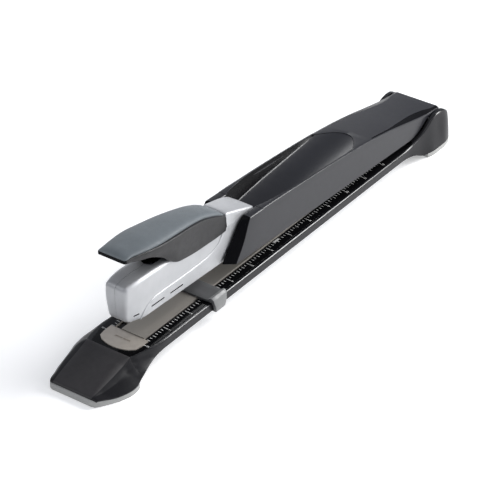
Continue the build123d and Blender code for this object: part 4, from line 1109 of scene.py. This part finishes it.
def build_guide():
    skin = Skin()
    ring = list(GUIDE_PROFILE) + [(-x, z, length) for x, z, length in reversed(GUIDE_PROFILE) if x > 0]
    rows = skin.rows(
        [[(x, GUIDE_MIDDLE + side * length, z) for x, z, length in ring] for side in (-1, -0.4, 0.4, 1)]
    )
    lobes = [k for k, (x, z, length) in enumerate(ring) if abs(x) > 22.5]
    # the lobes take the nylon's grey, the rest its darker copy: painted shade
    skin.grid(rows, wrap=True, paint=lambda i, k: 1 if k in lobes else 0)
    for row in (rows[0][::-1], rows[-1]):
        skin.bm.faces.new(row)
    for row in (rows[0], rows[-1]):
        skin.round_line(row + row[:1])
    guide = skin.finish("paper_guide_slider", "guide", (guide_top_painted_shade, guide_grey), bevel=0.5)
    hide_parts("paper_guide")


build_guide()

# ---- floor, camera, light ----
AZIMUTH, ELEVATION = math.radians(35.616), math.radians(33.342)
DISTANCE = 1.7834
TARGET = Vector((0.0139, -0.0372, 0.025))
LENS = 172.6

FLOOR_HALF = 2600
FLOOR_GLOW = 0.36

floor_finish = finish_of("floor_paper", (0.84, 0.84, 0.84), 0.75, mottle=0.004, mottle_mm=200)
floor_shader = floor_finish.node_tree.nodes["Principled BSDF"]
floor_shader.inputs["Emission Color"].default_value = (1, 1, 1, 1)
floor_shader.inputs["Emission Strength"].default_value = FLOOR_GLOW
floor_skin = Skin()
ends = (-FLOOR_HALF, FLOOR_HALF)
floor_skin.grid(floor_skin.rows([[(x, s, 0.0) for x in ends] for s in ends]))
bmesh.ops.recalc_face_normals(floor_skin.bm, faces=floor_skin.bm.faces)
floor_mesh = bpy.data.meshes.new("floor")
floor_skin.bm.to_mesh(floor_mesh)
floor_skin.bm.free()
floor_mesh.materials.append(floor_finish)
floor = added("floor", floor_mesh)

camera_data = bpy.data.cameras.new("camera")
camera_data.lens = LENS
camera_data.sensor_width = 36.0
camera_data.clip_end = 20
camera = added("camera", camera_data)
level = math.cos(ELEVATION)
toward = Vector((-math.sin(AZIMUTH) * level, math.cos(AZIMUTH) * level, -math.sin(ELEVATION)))
camera.location = TARGET - toward * DISTANCE
camera.rotation_euler = toward.to_track_quat("-Z", "Y").to_euler()
bpy.context.scene.camera = camera


def area_lamp(name, size, power):
    """A rectangular white lamp, still to be placed."""
    data = bpy.data.lights.new(name, "AREA")
    data.shape = "RECTANGLE"
    data.size, data.size_y = size
    data.energy = power
    return added(name, data)


LAMP_AIM = Vector((0, 0, 0.03))
SOFTBOXES = (
    # name, place and size in metres, power in watts
    ("key", (1.75, -0.40, 1.05), (1.0, 0.8), 5),
    ("fill", (-1.3, -1.5, 1.9), (1.0, 1.0), 5),
    ("top", (0.5, -0.3, 2.4), (1.4, 1.4), 4),
    ("back_left", (-1.45, 1.35, 0.42), (1.2, 0.4), 3.5),
)
for lamp_name, position, size, power in SOFTBOXES:
    lamp = area_lamp(lamp_name, size, power)
    lamp.location = position
    lamp.rotation_euler = (LAMP_AIM - Vector(position)).to_track_quat("-Z", "Y").to_euler()

# a long strip behind on the right draws the thin bright lines along the upper right edges
STRIP_DISTANCE = 1.95
strip = area_lamp("edge_strip", (2.0, 0.4), 54)
strip_from = Vector((0.52, 0.68, 0.50)).normalized()
strip_along = Vector((0.665, 0.0, -0.747))
strip_along = (strip_along - strip_from * strip_along.dot(strip_from)).normalized()
turn = Matrix((strip_along, strip_from.cross(strip_along), strip_from)).transposed().to_4x4()
strip.matrix_world = Matrix.Translation(strip_from * STRIP_DISTANCE) @ turn

SKY_COLOUR, SKY_STRENGTH = (0.86, 0.90, 1.0, 1), 0.38
world = bpy.data.worlds.new("studio")
world.use_nodes = True
sky = world.node_tree.nodes["Background"]
sky.inputs["Color"].default_value = SKY_COLOUR
sky.inputs["Strength"].default_value = SKY_STRENGTH
bpy.context.scene.world = world
bpy.context.scene.view_settings.view_transform = "Standard"
